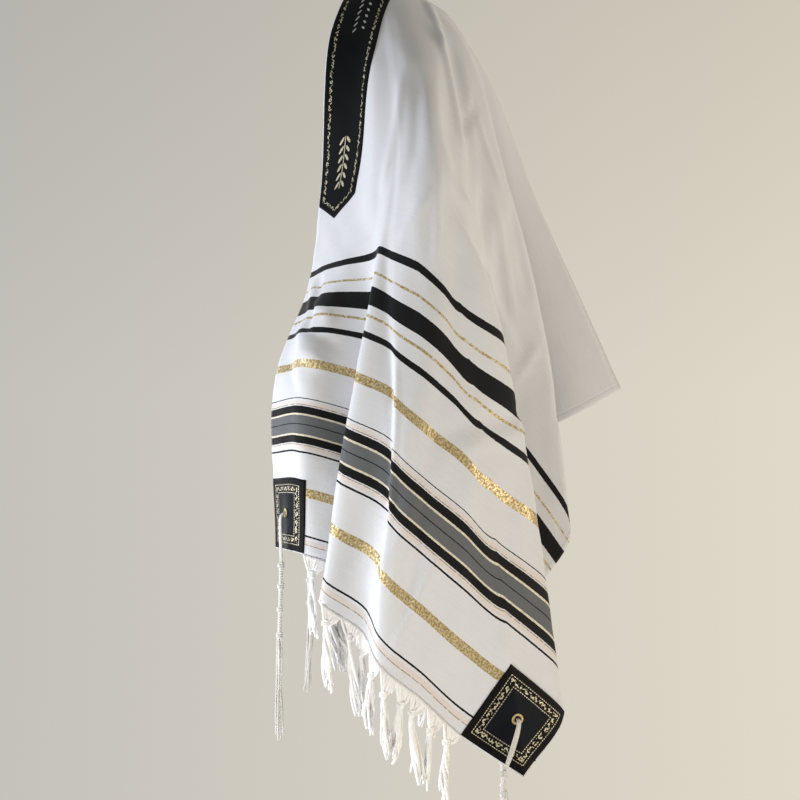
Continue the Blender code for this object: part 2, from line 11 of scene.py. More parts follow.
import bpy
import numpy as np
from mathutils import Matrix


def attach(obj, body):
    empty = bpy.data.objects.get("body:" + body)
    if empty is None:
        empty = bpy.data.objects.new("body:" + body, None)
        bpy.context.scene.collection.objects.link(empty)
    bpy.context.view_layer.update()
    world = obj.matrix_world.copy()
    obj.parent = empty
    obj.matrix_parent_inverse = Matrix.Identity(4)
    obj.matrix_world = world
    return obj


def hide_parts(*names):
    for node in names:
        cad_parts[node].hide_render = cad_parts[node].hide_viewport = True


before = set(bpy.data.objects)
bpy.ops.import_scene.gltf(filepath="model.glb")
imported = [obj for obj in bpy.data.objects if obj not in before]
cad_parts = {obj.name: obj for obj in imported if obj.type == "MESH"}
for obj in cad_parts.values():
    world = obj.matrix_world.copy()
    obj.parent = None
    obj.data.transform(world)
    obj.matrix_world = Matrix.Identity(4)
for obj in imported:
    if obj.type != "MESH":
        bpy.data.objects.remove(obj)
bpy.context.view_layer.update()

# %% [markdown]
# ## Sizes of the cut pieces
# A tallit is cut as a rectangle. On the flat cloth, u runs from the centre line to the
# fringed short edges (left side positive) and v from the front edge to the back hem.
# All sizes are in metres, but for the tables, which are in millimetres.

# %% Named sizes
LENGTH = 1.830             # short edge to short edge
WIDTH = 0.820              # front edge to back hem
CLOTH_WALL = 0.0012
HEM = 0.010                # from the long edges to their stitched line
STITCH = 0.0016            # half the width of its groove
BAND_WIDTH = 0.085         # neckband
BAND_HALF = 0.360
BAND_POINT = 0.030
PATCH_SIDE = 0.110         # corner patches
EDGE_INSET = 0.0015        # patches and band start this far in from the cloth's edge
HOLE_FROM_EDGES = 0.058
TASSEL_LONG = 0.325
print("cut", LENGTH, "by", WIDTH)

# %% [markdown]
# ## How the cloth hangs
# Cloth keeps its length while it hangs. So each row below is one line on the flat cloth,
# from the line over the crown to the border, with the places it passes: the side of the
# head (h), beside the shoulder (s, at u_s, v_s on the flat cloth), the wrist (w) and the
# elbow (e), a quarter and half way down the rest, and its end (f). How low it reaches is
# then worked out from its length. Ridges and valleys of the folds are such lines, so the
# folds follow from the table and the cloth is nowhere stretched more than it would be.

# %% Tables of the drape, in millimetres
CROWN_NAMES = ("v", "y", "z")
CROWN_LINE = (
    (0, -84, -20),
    (40, -48, -3),
    (80, -9, 0),
    (126, 33, -16),
    (150, 54, -27),
)
FOLD_NAMES = ("name", "v_top", "u_s", "v_s", "u_end", "v_end", "give", "x_h", "y_h", "z_h",
              "x_s", "y_s", "z_s", "x_w", "y_w", "x_e", "y_e", "x_f", "y_f")
FOLDS = (
    ("front_edge", 0, 343, 0, 915, 0, 0.925,
     80, -104, -90, 108, -117, -334, 138, -132, 165, -173, 118, -180),
    ("front_panel", 30, 341, 85, 915, 112, 0.95,
     79, -61, -80, 158, -61, -318, 190, -86, 222, -125, 200, -134),
    ("front_valley", 46, 354, 130, 915, 250, 1.05,
     75, -39, -66, 197, -34, -302, 210, -38, 208, -40, 150, -14),
    ("front_ridge", 52, 357, 165, 915, 388, 1.035,
     73, -28, -60, 215, -12, -296, 233, -33, 252, -62, 232, -111),
    ("pleat_valley", 62, 359, 172, 915, 475, 1.055,
     71, -20, -55, 219, -5, -293, 238, -18, 260, -14, 224, -50),
    ("pleat_ridge", 68, 358, 179, 915, 525, 1.08,
     70, -15, -53, 223, 1, -290, 246, -5, 270, -2, 244, -30),
    ("side_panel", 78, 354, 206, 915, 625, 1.09,
     68, -4, -50, 231, 22, -288, 253, 26, 268, 32, 222, 29),
    ("side_back", 88, 342, 230, 915, 705, 1.10,
     65, 12, -50, 232, 44, -290, 249, 58, 250, 78, 186, 82),
    ("corner", 97, 335, 243, 915, 820, 1.09,
     61, 28, -53, 229, 56, -294, 236, 86, 222, 122, 150, 177),
    ("side_ridge", 103, 318, 255, 803, 820, 1.09,
     57, 40, -56, 222, 68, -298, 208, 130, 180, 175, 118, 238),
    ("side_valley", 110, 285, 335, 680, 820, 1.07,
     50, 58, -60, 158, 106, -312, 146, 122, 124, 132, 95, 165),
    ("back_ridge", 118, 226, 417, 480, 820, 1.05,
     40, 76, -66, 98, 164, -334, 87, 198, 75, 222, 54, 255),
    ("back_valley_1", 126, 171, 442, 330, 820, 1.00,
     28, 88, -74, 70, 128, -338, 76, 130, 82, 123, 91, 125),
    ("back_valley_2", 132, 122, 466, 215, 820, 1.00,
     18, 98, -84, 40, 130, -342, 41, 126, 42, 122, 35, 122),
    ("back_side", 140, 58, 496, 105, 820, 0.985,
     10, 106, -92, 24, 180, -346, 28, 198, 32, 212, 40, 242),
    ("centre_back", 150, 0, 517, 0, 820, 0.955,
     0, 112, -100, 0, 219, -350, 0, 249, 0, 279, 0, 338),
)
RIGHT_NAMES = ("name", "dx_e", "dy_e", "dx_f", "dy_f")
RIGHT_SHIFTS = (
    ("front_edge", -6, 4, 6, 4),
    ("front_panel", -8, 6, -10, 6),
    ("front_valley", -12, 8, 6, 10),
    ("front_ridge", -10, 12, -14, 14),
    ("pleat_valley", -4, 10, 4, 16),
    ("pleat_ridge", -6, 8, -6, 14),
    ("side_panel", -6, -4, -8, 4),
    ("side_back", -10, -8, -10, -6),
    ("corner", -14, -10, -12, -12),
    ("side_ridge", -8, -12, -6, -14),
    ("side_valley", 6, 4, 8, -6),
    ("back_ridge", 6, -6, 8, -10),
    ("back_valley_1", -6, 4, -8, 2),
    ("back_valley_2", 4, 4, 6, 4),
    ("back_side", 4, -6, 6, -8),
)
COLUMNS = (14, 18, 18, 9, 9, 14, 14, 14, 13, 14, 16, 14, 11, 10, 10)
STEPS_DOWN = np.concatenate([np.linspace(0, 1, 13)[:-1], np.linspace(1, 2, 27)[:-1],
                             np.linspace(2, 4, 39)[:-1], np.linspace(4, 5, 40)])
print("cloth grid", len(STEPS_DOWN), "steps by", sum(COLUMNS) + 1, "columns a side")

# %% [markdown]
# ## Curves through the table
# A cubic through given points with smooth tangents is enough for hanging cloth: it bends
# gently at the shoulder and elbow and never overshoots much. Across the fold lines the
# same curve makes round ridges and valleys.

# %% Curve helpers
ALMOST = 0.999999          # keeps the end of a curve inside its last span


def table_rows(names, rows):
    """Rows of a table as dictionaries, with the millimetres turned into metres."""
    out = []
    for row in rows:
        item = dict(zip(names, row))
        for key, value in item.items():
            if key not in ("name", "give"):
                item[key] = value / 1000.0
        out.append(item)
    return out


def smooth_tangents(points, knots):
    """Tangent at each point: the slopes on its two sides, weighted by each other's span."""
    span = np.diff(knots)[:, None]
    slope = np.diff(points, axis=0) / span
    tangents = np.zeros_like(points)
    tangents[0], tangents[-1] = slope[0], slope[-1]
    tangents[1:-1] = (slope[:-1] * span[1:] + slope[1:] * span[:-1]) / (span[1:] + span[:-1])
    return tangents


def curve_at(points, tangents, knots, t):
    """Cubic Hermite curve at t: point i is at t = i, and the tangents give its bend."""
    i = np.clip(np.floor(t).astype(int), 0, len(points) - 2)
    f = (t - i)[:, None]
    span = (knots[i + 1] - knots[i])[:, None]
    return ((2 * f**3 - 3 * f**2 + 1) * points[i] + (f**3 - 2 * f**2 + f) * span * tangents[i]
            + (3 * f**2 - 2 * f**3) * points[i + 1] + (f**3 - f**2) * span * tangents[i + 1])


def lengths_along(points):
    """Running sum of the distances between neighbouring points."""
    return np.concatenate([[0.0], np.cumsum(np.linalg.norm(np.diff(points, axis=0), axis=1))])


def unit(a):
    """Vectors divided by their own length."""
    return a / np.maximum(np.linalg.norm(a, axis=-1, keepdims=True), 1e-12)


# %% Where one fold line hangs
OVER_HEAD = 1.08           # the way over the round head against the straight one


def crown_at(v):
    """Point of the line over the crown at v, and the way it runs there."""
    line = table_rows(CROWN_NAMES, CROWN_LINE)
    knots = np.array([row["v"] for row in line])
    points = np.array([(0.0, row["y"], row["z"]) for row in line])
    tangents = np.gradient(points, knots, axis=0)
    i = int(np.clip(np.searchsorted(knots, v, side="right") - 1, 0, len(knots) - 2))
    f = (v - knots[i]) / (knots[i + 1] - knots[i])
    point = curve_at(points, tangents, knots, np.array([i + f * ALMOST]))[0]
    return point, unit(tangents[i] * (1 - f) + tangents[i + 1] * f)


def below(point, x, y, length):
    """Point at x, y below the given one: z drops by the root of length squared less
    the level distance squared."""
    across = math.hypot(x - point[0], y - point[1])
    return np.array([x, y, point[2] - math.sqrt(max(length**2 - across**2, 0.0))])


def share_down(steps):
    """Share of the length below the shoulder that is used up at a step."""
    return np.interp(steps, (2, 3, 4, 5), (0, 0.25, 0.5, 1))


def fold_line(fold, steps):
    """Places in space and on the flat cloth of one fold line. In space it is one cubic
    through crown, head, shoulder, wrist, elbow and end. On the flat cloth it is straight
    to the shoulder and straight on to its end. The lower part hangs give times as long
    as it was cut: on the bias cloth stretches, and crumples shorten it."""
    top, crown_way = crown_at(fold["v_top"])
    head = np.array([fold["x_h"], fold["y_h"], fold["z_h"]])
    shoulder = np.array([fold["x_s"], fold["y_s"], fold["z_s"]])
    on_head = np.linalg.norm(head - top) * OVER_HEAD
    knots = np.array([0.0, on_head, on_head + np.linalg.norm(shoulder - head)])
    upper = np.array([top, head, shoulder])
    leave = np.array([fold["u_s"], 0.0, 0.0]) + crown_way * (fold["v_s"] - fold["v_top"])
    leave = unit(leave)
    tangents = smooth_tangents(upper, knots)
    tangents[0] = leave
    fine_steps = np.linspace(0, 2, 81)
    along = lengths_along(curve_at(upper, tangents, knots, fine_steps))
    flat_top = np.array([0.0, fold["v_top"]])
    flat_bend = np.array([fold["u_s"], fold["v_s"]])
    flat_end = np.array([fold["u_end"], fold["v_end"]])
    rest = np.linalg.norm(flat_end - flat_bend) * fold["give"]
    wrist = below(shoulder, fold["x_w"], fold["y_w"], rest / 4)
    elbow = below(wrist, fold["x_e"], fold["y_e"], rest / 4)
    foot = below(elbow, fold["x_f"], fold["y_f"], rest / 2)
    points = np.array([top, head, shoulder, wrist, elbow, foot])
    knots = np.append(knots, knots[2] + rest * np.array([0.25, 0.5, 1.0]))
    tangents = smooth_tangents(points, knots)
    tangents[0] = leave
    place = curve_at(points, tangents, knots, steps)
    used = (np.interp(steps, fine_steps, along) / along[-1])[:, None]
    flat = flat_top + used * (flat_bend - flat_top)
    return place, flat + share_down(steps)[:, None] * (flat_end - flat_bend)


# %% One half of the cloth as a grid
def half_cloth(folds, steps, columns):
    """Grid of places and flat places: down the steps, and across from fold line to fold
    line along one cubic that is walked at an even pace. The square corner stays sharp."""
    lines = [fold_line(fold, steps) for fold in folds]
    corner = [fold["name"] for fold in folds].index("corner")
    grid, flat = [], []
    for step in range(len(steps)):
        points = np.array([line[0][step] for line in lines])
        flat_points = np.array([line[1][step] for line in lines])
        apart = np.maximum(np.linalg.norm(np.diff(points, axis=0), axis=1), 1e-5)
        knots = np.concatenate([[0.0], np.cumsum(np.sqrt(apart))])
        slope = np.diff(points, axis=0) / np.diff(knots)[:, None]
        arrive = smooth_tangents(points, knots)
        leave = arrive.copy()
        sharp = np.clip((share_down(steps[step]) - 0.2) / 0.8, 0, 1) ** 2
        arrive[corner] += (slope[corner - 1] - arrive[corner]) * sharp
        leave[corner] += (slope[corner] - leave[corner]) * sharp
        row, flat_row = [points[:1]], [flat_points[:1]]
        for i, count in enumerate(columns):
            ends = np.array([leave[i], arrive[i + 1]])
            fine = curve_at(points[i:i + 2], ends, knots[i:i + 2], np.linspace(0, ALMOST, 33))
            along = lengths_along(fine)
            share = np.arange(1, count + 1)[:, None] / count
            row.append(np.stack([np.interp(share[:, 0] * along[-1], along, fine[:, k])
                                 for k in range(3)], axis=1))
            flat_row.append(flat_points[i] + share * (flat_points[i + 1] - flat_points[i]))
        grid.append(np.concatenate(row))
        flat.append(np.concatenate(flat_row))
    return np.array(grid), np.array(flat)


def right_folds():
    """The fold table with the shifts of the wearer's right side."""
    shifts = {row["name"]: row for row in table_rows(RIGHT_NAMES, RIGHT_SHIFTS)}
    folds = table_rows(FOLD_NAMES, FOLDS)
    for fold in folds:
        shift = shifts.get(fold["name"])
        if shift:
            for key in ("x_e", "y_e", "x_f", "y_f"):
                fold[key] += shift["d" + key]
            fold["x_w"] += shift["dx_e"] / 2
            fold["y_w"] += shift["dy_e"] / 2
    return folds


# %% Both halves as one layer
def vertex_normals(points, faces):
    """Outward direction at each point: its triangles' cross products added up."""
    a, b, c = (points[faces[:, k]] for k in range(3))
    way = np.cross(b - a, c - a)
    total = np.stack([np.bincount(faces.ravel(), np.repeat(way[:, k], 3), len(points))
                      for k in range(3)], axis=1)
    return unit(total)


left, left_flat = half_cloth(table_rows(FOLD_NAMES, FOLDS), STEPS_DOWN, COLUMNS)
right, right_flat = half_cloth(right_folds(), STEPS_DOWN, COLUMNS)
right, right_flat = right * (-1.0, 1.0, 1.0), right_flat * (-1.0, 1.0)
down, across = left.shape[:2]
left_ids = np.arange(down * across).reshape(down, across)
right_ids = left_ids.copy()
right_ids[1:, :-1] = down * across + np.arange((down - 1) * (across - 1)).reshape(down - 1, -1)
cloth_points = np.concatenate([left.reshape(-1, 3), right[1:, :-1].reshape(-1, 3)])
cloth_flat = np.concatenate([left_flat.reshape(-1, 2), right_flat[1:, :-1].reshape(-1, 2)])


def grid_quads(ids, turned=False):
    """Four corners of every cell of a grid of point numbers."""
    a, b, c, d = ids[:-1, :-1], ids[:-1, 1:], ids[1:, 1:], ids[1:, :-1]
    order = (a, b, c, d) if turned else (a, d, c, b)
    return np.stack([x.ravel() for x in order], axis=1)


cloth_quads = np.concatenate([grid_quads(left_ids), grid_quads(right_ids, turned=True)])
cloth_tris = np.concatenate([cloth_quads[:, (0, 1, 3)], cloth_quads[:, (1, 2, 3)]])
cloth_ways = vertex_normals(cloth_points, cloth_tris)
print("cloth layer", len(cloth_points), "points")

# %% [markdown]
# ## Creases
# Big folds come from the table. The small ones a hand makes when it holds the edge and
# the soft lines that fan out from the head are laid on top: each is a straight line on
# the flat cloth that lifts or sinks it by a few millimetres.

# %% Crease table and how it moves the cloth
# side (1 is left), u and v of both ends, half width, height
CREASES = (
    (1, 20, 132, 150, 182, 9, 4.5), (1, 80, 136, 290, 310, 8, 6.0),
    (1, 95, 172, 300, 342, 15, -5.0), (1, 165, 281, 255, 280, 6, -4.4),
    (1, 186, 278, 252, 398, 7, 3.8), (1, 330, 262, 392, 570, 8, 6.5),
    (1, 352, 256, 430, 540, 15, -7.0), (1, 270, 384, 370, 536, 8, 4.0),
    (1, 240, 400, 330, 540, 11, -3.2), (1, 340, 246, 470, 324, 10, 3.2),
    (1, 376, 262, 462, 240, 7, 3.2), (1, 210, 148, 410, 163, 9, 2.8),
    (1, 190, 168, 410, 218, 13, -3.4), (1, 346, 575, 430, 588, 7, 3.8),
    (1, 466, 592, 650, 452, 11, 3.6), (1, 500, 540, 660, 420, 12, -3.2),
    (1, 560, 300, 900, 505, 6, 3.4), (1, 560, 283, 900, 486, 6, -3.4),
    (1, 728, 534, 905, 538, 8, 3.6), (1, 640, 470, 880, 440, 9, 2.6),
    (1, 650, 430, 890, 400, 13, -3.0), (1, 470, 36, 606, 76, 8, -4.6),
    (1, 520, 34, 568, 120, 7, 3.6), (1, 572, 56, 606, 144, 7, -3.6),
    (1, 610, 62, 636, 136, 8, 3.2), (1, 776, 664, 816, 716, 8, 2.6),
    (1, 786, 644, 874, 684, 9, -2.6), (1, 120, 60, 470, 150, 16, 2.6),
    (1, 110, 150, 520, 300, 22, 3.4), (1, 160, 190, 620, 450, 18, -3.6),
    (1, 90, 200, 480, 470, 15, 3.0), (1, 200, 330, 640, 640, 16, 3.2),
    (1, 560, 20, 640, 130, 14, 4.0), (1, 600, 10, 720, 120, 12, -3.5),
    (1, 480, 15, 560, 60, 10, 3.0), (1, 500, 60, 900, 120, 13, 2.8),
    (1, 520, 380, 900, 560, 15, -3.2), (1, 500, 420, 900, 660, 18, 3.6),
    (1, 560, 520, 900, 740, 15, -3.0), (-1, 50, 120, 280, 290, 10, 5.0),
    (-1, 300, 300, 540, 480, 9, 5.0), (-1, 335, 286, 560, 450, 16, -5.5),
    (-1, 480, 40, 600, 90, 8, -4.0), (-1, 590, 50, 640, 150, 8, 3.0),
    (-1, 660, 450, 890, 420, 11, 3.0), (-1, 120, 90, 470, 190, 24, 2.5),
    (-1, 140, 160, 560, 360, 30, -3.0), (-1, 180, 260, 640, 540, 26, 3.0),
    (-1, 560, 20, 660, 120, 14, 4.0), (-1, 600, 60, 900, 140, 16, -2.5),
    (-1, 500, 380, 900, 600, 24, 3.0), (-1, 560, 560, 900, 720, 20, -2.0),
)


def crease_lift(flat):
    """Height added to the cloth: for each crease, high times exp(-(d / wide)^2), where d
    is the distance to its line, fading with a smooth step towards its two ends."""
    lift = np.zeros(len(flat))
    for side, u_a, v_a, u_b, v_b, wide, high in CREASES:
        a = np.array([side * u_a, v_a]) / 1000
        b = np.array([side * u_b, v_b]) / 1000
        way = (b - a) / np.linalg.norm(b - a)
        run = (flat - a) @ way / np.linalg.norm(b - a)
        off = (flat - a) @ np.array([-way[1], way[0]])
        fade = np.clip(run / 0.25, 0, 1) * np.clip((1 - run) / 0.25, 0, 1)
        fade = fade * fade * (3 - 2 * fade)
        lift += high / 1000 * np.exp(-(off / (wide / 1000)) ** 2) * fade
    return lift


def soft_waves(flat):
    """Uneven millimetre waves of limp cloth: a few sines of crossing directions."""
    u, v = flat[:, 0], flat[:, 1]
    waves = (0.7 * np.sin(38 * v + 9 * u + 1.3) + 0.5 * np.sin(61 * v - 17 * u + 0.4)
             + 0.4 * np.sin(27 * u + 14 * v + 2.2) + 0.3 * np.sin(95 * v + 23 * u)
             + 0.25 * np.sin(118 * v - 71 * u + 3 * np.sin(21 * u)))
    return waves / 1000 * np.clip(np.abs(u) / 0.3, 0.2, 1)


cloth_points = cloth_points + cloth_ways * (crease_lift(cloth_flat)
                                            + soft_waves(cloth_flat))[:, None]
cloth_ways = vertex_normals(cloth_points, cloth_tris)
print("creases", len(CREASES))

# %% [markdown]
# ## Colours and nodes
# Cloth colours are given as the sRGB hex a maker would note and turned to linear light.
# One small function adds a node with its settings and links. What it gives back can stand
# in a formula, so each material below reads as a list of what the yarns do.

# %% Colour and node helpers
def linear(code):
    """Linear red, green, blue of an sRGB hex colour."""
    rgb = np.array([int(code[i:i + 2], 16) for i in (1, 3, 5)]) / 255
    return tuple(np.where(rgb <= 0.04045, rgb / 12.92, ((rgb + 0.055) / 1.055) ** 2.4)) + (1.0,)


def put(node, name, value):
    """Links a signal to the input of that name or number, or sets it to a plain value."""
    if isinstance(value, Signal):
        node.id_data.links.new(value.socket, node.inputs[name])
    else:
        node.inputs[name].default_value = value


def add(tree, kind, out=0, **settings):
    """One node: settings name its properties or, after in_, its inputs by number or name.
    Gives the signal of one of its outputs."""
    node = tree.nodes.new("ShaderNode" + kind)
    for key, value in settings.items():
        if key.startswith("in_"):
            name = key[3:]
            put(node, int(name) if name.isdigit() else name, value)
        else:
            setattr(node, key, value)
    return Signal(node.outputs[out])


class Signal:
    """The output of a node. It can be used in formulas: each sign in one, and each of the
    words listed below, makes a Math node."""

    def __init__(self, socket):
        self.socket = socket

    def out(self, name):
        """Another output of the same node."""
        return Signal(self.socket.node.outputs[name])

    def __rsub__(self, other):
        return sign("SUBTRACT", other, self)


def sign(operation, first, second=0.0):
    """Result of an operation on a signal and another one, or a number."""
    tree = (first if isinstance(first, Signal) else second).socket.node.id_data
    return add(tree, "Math", operation=operation, in_0=first, in_1=second)


def signing(operation):
    """A method of Signal that makes a Math node with this operation."""
    return lambda first, second=0.0: sign(operation, first, second)


for word, operation in (("__add__", "ADD"), ("__sub__", "SUBTRACT"), ("__mul__", "MULTIPLY"),
                        ("__truediv__", "DIVIDE"), ("__mod__", "MODULO"), ("__pow__", "POWER"),
                        ("__lt__", "LESS_THAN"), ("__gt__", "GREATER_THAN"),
                        ("__abs__", "ABSOLUTE"), ("least", "MINIMUM"), ("most", "MAXIMUM"),
                        ("fract", "FRACT"), ("floor", "FLOOR"), ("sine", "SINE")):
    setattr(Signal, word, signing(operation))


def pick(near, first, second):
    """first where near is 1, second where it is 0."""
    return near * first + (1.0 - near) * second


def new_material(name):
    """An empty material and its node tree."""
    made = bpy.data.materials.new(name)
    made.use_nodes = True
    made.node_tree.nodes.clear()
    return made, made.node_tree


def shade(tree, inputs):
    """The shader with its named inputs, linked to the material's output."""
    shader = add(tree, "BsdfPrincipled")
    for name, value in inputs.items():
        put(shader.socket.node, name, value)
    put(tree.nodes.new("ShaderNodeOutputMaterial"), 0, shader)


MIX = {"kind": "Mix", "out": 2, "data_type": "RGBA"}     # colours are inputs 6 and 7

# %% [markdown]
# ## The woven cloth
# A tallit of this kind is a light twill of white acrylic or fine wool. The stripes are
# woven in, parallel to the short edges, so they are placed by the distance from those
# edges alone. Gold ones hold a flat metallic yarn whose glitter is painted as light
# specks; grey ones a mix of black and white yarn. The table lists where each stripe starts.

# %% Stripe table: millimetres from the short edge where each colour begins
WHITE, BLUSH, CREAM, TAN = "#D9DBE0", "#DAD3D0", "#E0DBCA", "#95866D"
GOLD, GREY, BLACK = "#B29B66", "#64676A", "#07080B"
STRIPES = (
    (0, WHITE, 0), (14.5, TAN, 0.6), (16.2, BLUSH, 0), (22.5, WHITE, 0), (27, BLACK, 0),
    (30, WHITE, 0), (86, GOLD, 1), (99, WHITE, 0), (150, BLACK, 0), (152.7, WHITE, 0),
    (155, BLUSH, 0), (161, TAN, 0.5), (162.2, WHITE, 0), (163.3, BLACK, 0),
    (174.5, CREAM, 0.4), (177.3, GREY, 0), (190, BLACK, 0), (192.3, GREY, 0),
    (204, CREAM, 0.4), (206.8, BLACK, 0), (217.7, WHITE, 0), (218.7, TAN, 0.5),
    (219.9, BLUSH, 0), (226, WHITE, 0), (228, BLACK, 0), (230.6, WHITE, 0),
    (274.5, GOLD, 1), (287.5, WHITE, 0), (331, BLACK, 0), (339.5, WHITE, 0),
)
# Nearer the middle: two black stripes between thin broken gold lines.
UPPER_STRIPES = (
    (340, WHITE, 0), (357.3, GOLD, 0.8), (360.7, WHITE, 0), (372, BLACK, 0),
    (396, WHITE, 0), (411.3, GOLD, 0.8), (414.7, WHITE, 0), (437.5, BLACK, 0), (447, WHITE, 0),
)


def stripe_ramp(tree, from_edge, rows):
    """Colour ramp with a hard stop for each row; alpha holds the share of metallic yarn."""
    first, last = rows[0][0] / 1000, rows[-1][0] / 1000 + 0.010
    ramp = add(tree, "ValToRGB", in_0=(from_edge - first) / (last - first))
    colours = ramp.socket.node.color_ramp
    colours.interpolation = "CONSTANT"
    stops = colours.elements
    while len(stops) > 1:
        stops.remove(stops[-1])
    for i, (start, colour, lurex) in enumerate(rows):
        place = (start / 1000 - first) / (last - first)
        stop = stops[0] if i == 0 else stops.new(place)
        stop.position = place
        stop.color = linear(colour)[:3] + (float(lurex),)
    return ramp


def woven_cloth():
    """Twill with woven stripes; returns the material."""
    made, tree = new_material("woven_cloth")
    uv = add(tree, "UVMap", uv_map="flat")
    u = add(tree, "SeparateXYZ", in_0=uv)
    v = u.out(1)
    wobble = add(tree, "TexNoise", in_Vector=uv, in_Scale=260.0, in_Detail=2.0)
    from_edge = (LENGTH / 2 - abs(u)) + (wobble * 0.0010 - 0.0005)
    lower = stripe_ramp(tree, from_edge, STRIPES)
    upper = stripe_ramp(tree, from_edge, UPPER_STRIPES)
    is_upper = from_edge > UPPER_STRIPES[0][0] / 1000
    striped = add(tree, **MIX, in_0=is_upper, in_6=lower, in_7=upper)
    lurex = pick(is_upper, upper.out("Alpha"), lower.out("Alpha"))
    # Thin metallic lines are broken: the yarn dips under every few millimetres.
    dips = add(tree, "TexNoise", in_Vector=uv, in_Scale=150.0, in_Detail=3.0)
    under = (lurex > 0.45) * (lurex < 0.9) * (dips < 0.43)
    lurex = lurex * (1.0 - under)
    coloured = add(tree, **MIX, in_0=under * 0.75, in_6=striped, in_7=linear(WHITE))
    # Metallic yarn: specks of 2 mm in the relief, and painted glints in its colour: a noise
    # blends a dark and a light gold, painted bright where the flat yarn faces out.
    speck = add(tree, "TexVoronoi", in_Vector=uv, in_Scale=420.0)
    cloud = add(tree, "TexNoise", in_Vector=uv, in_Scale=330.0, in_Detail=3.0)
    glitter = add(tree, "MapRange", in_0=cloud, in_1=0.40, in_2=0.62)
    painted_glints = add(tree, **MIX, in_0=glitter, in_6=linear("#7D673C"), in_7=linear("#EADFBC"))
    gold = add(tree, **MIX, in_0=0.6, in_6=coloured, in_7=painted_glints)
    yarn = add(tree, **MIX, in_0=lurex, in_6=coloured, in_7=gold)
    # Uneven yarn: a faint slub along the weft.
    slub_at = add(tree, "Mapping", in_0=uv, in_Scale=(420.0, 26.0, 1.0))
    slub = add(tree, "TexNoise", in_Vector=slub_at, in_Scale=1.0, in_Detail=2.0)
    tone = add(tree, "MapRange", in_0=slub, in_1=0.3, in_2=0.7, in_3=0.975, in_4=1.015)
    base = add(tree, **MIX, blend_type="MULTIPLY", in_0=1.0, in_6=yarn, in_7=tone)
    # Twill ribs 2.3 mm apart, drawn coarser than the real 0.5 mm so that they show.
    ribs = add(tree, "TexWave", 1, bands_direction="DIAGONAL", in_Vector=uv, in_Scale=195.0,
               in_Distortion=1.2)
    # Narrow hems along both long edges: a stitched line.
    from_stitch = abs(v.least(WIDTH - v) - HEM)
    groove = add(tree, "MapRange", in_0=from_stitch, in_2=STITCH, in_3=-2.5, in_4=0.0)
    relief = ribs * 0.35 + slub * 0.35 + lurex * (speck * 1.2) + groove
    bump = add(tree, "Bump", in_Height=relief, in_Strength=0.35, in_Distance=0.0006)
    shade(tree, {"Base Color": base, "Metallic": lurex * (glitter * 0.35 + 0.15),
                 "Roughness": lurex * -0.45 + 0.88, "Normal": bump, "Sheen Weight": 0.15,
                 "Sheen Roughness": 0.5, "Specular IOR Level": 0.25})
    return made


woven = woven_cloth()
print("stripes", len(STRIPES) + len(UPPER_STRIPES))

# %% [markdown]
# ## Making meshes
# Every piece is put into Blender the same way: whole arrays of points and faces, and one
# or more UV maps, which the patterns read: in metres on the flat cloth or the cut piece.

# %% Mesh helper
def add_mesh(name, points, faces, material, maps=()):
    """One smooth object. Each map is (name, two numbers for each point)."""
    mesh = bpy.data.meshes.new(name)
    mesh.from_pydata(points.tolist(), [], faces if isinstance(faces, list) else faces.tolist())
    corner = np.zeros(len(mesh.loops), dtype=np.int32)
    mesh.loops.foreach_get("vertex_index", corner)
    for map_name, values in maps:
        layer = mesh.uv_layers.new(name=map_name)
        layer.data.foreach_set("uv", values[corner].astype(np.float32).ravel())
    mesh.materials.append(material)
    mesh.polygons.foreach_set("use_smooth", np.full(len(mesh.polygons), True))
    mesh.update()
    made = bpy.data.objects.new(name, mesh)
    bpy.context.scene.collection.objects.link(made)
    return made


def give_wall(piece, wall, offset):
    """Solidify with the given thickness; offset 0 is centred, 1 outside the surface."""
    solid = piece.modifiers.new("wall", "SOLIDIFY")
    solid.thickness = wall
    solid.offset = offset
    solid.use_even_offset = False
    return piece


# %% The shawl's cloth
cloth = add_mesh("shawl_cloth", cloth_points, cloth_quads, woven, [("flat", cloth_flat)])
give_wall(cloth, CLOTH_WALL, 0.0)
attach(cloth, "root")
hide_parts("cloth")
print("cloth quads", len(cloth_quads))

# %% [markdown]
# ## Finding a place on the cloth
# Band, patches, eyelets and fringe are sewn at flat places, so a helper turns flat places
# into places in space: it finds the triangle of the cloth that holds each, and takes the
# same share of its three corners.

# %% Flat places to places in space
MARGIN = 0.012             # triangles this far outside the flat places are looked at too
MOST_PAIRS = 3_000_000     # of places and triangles at a time


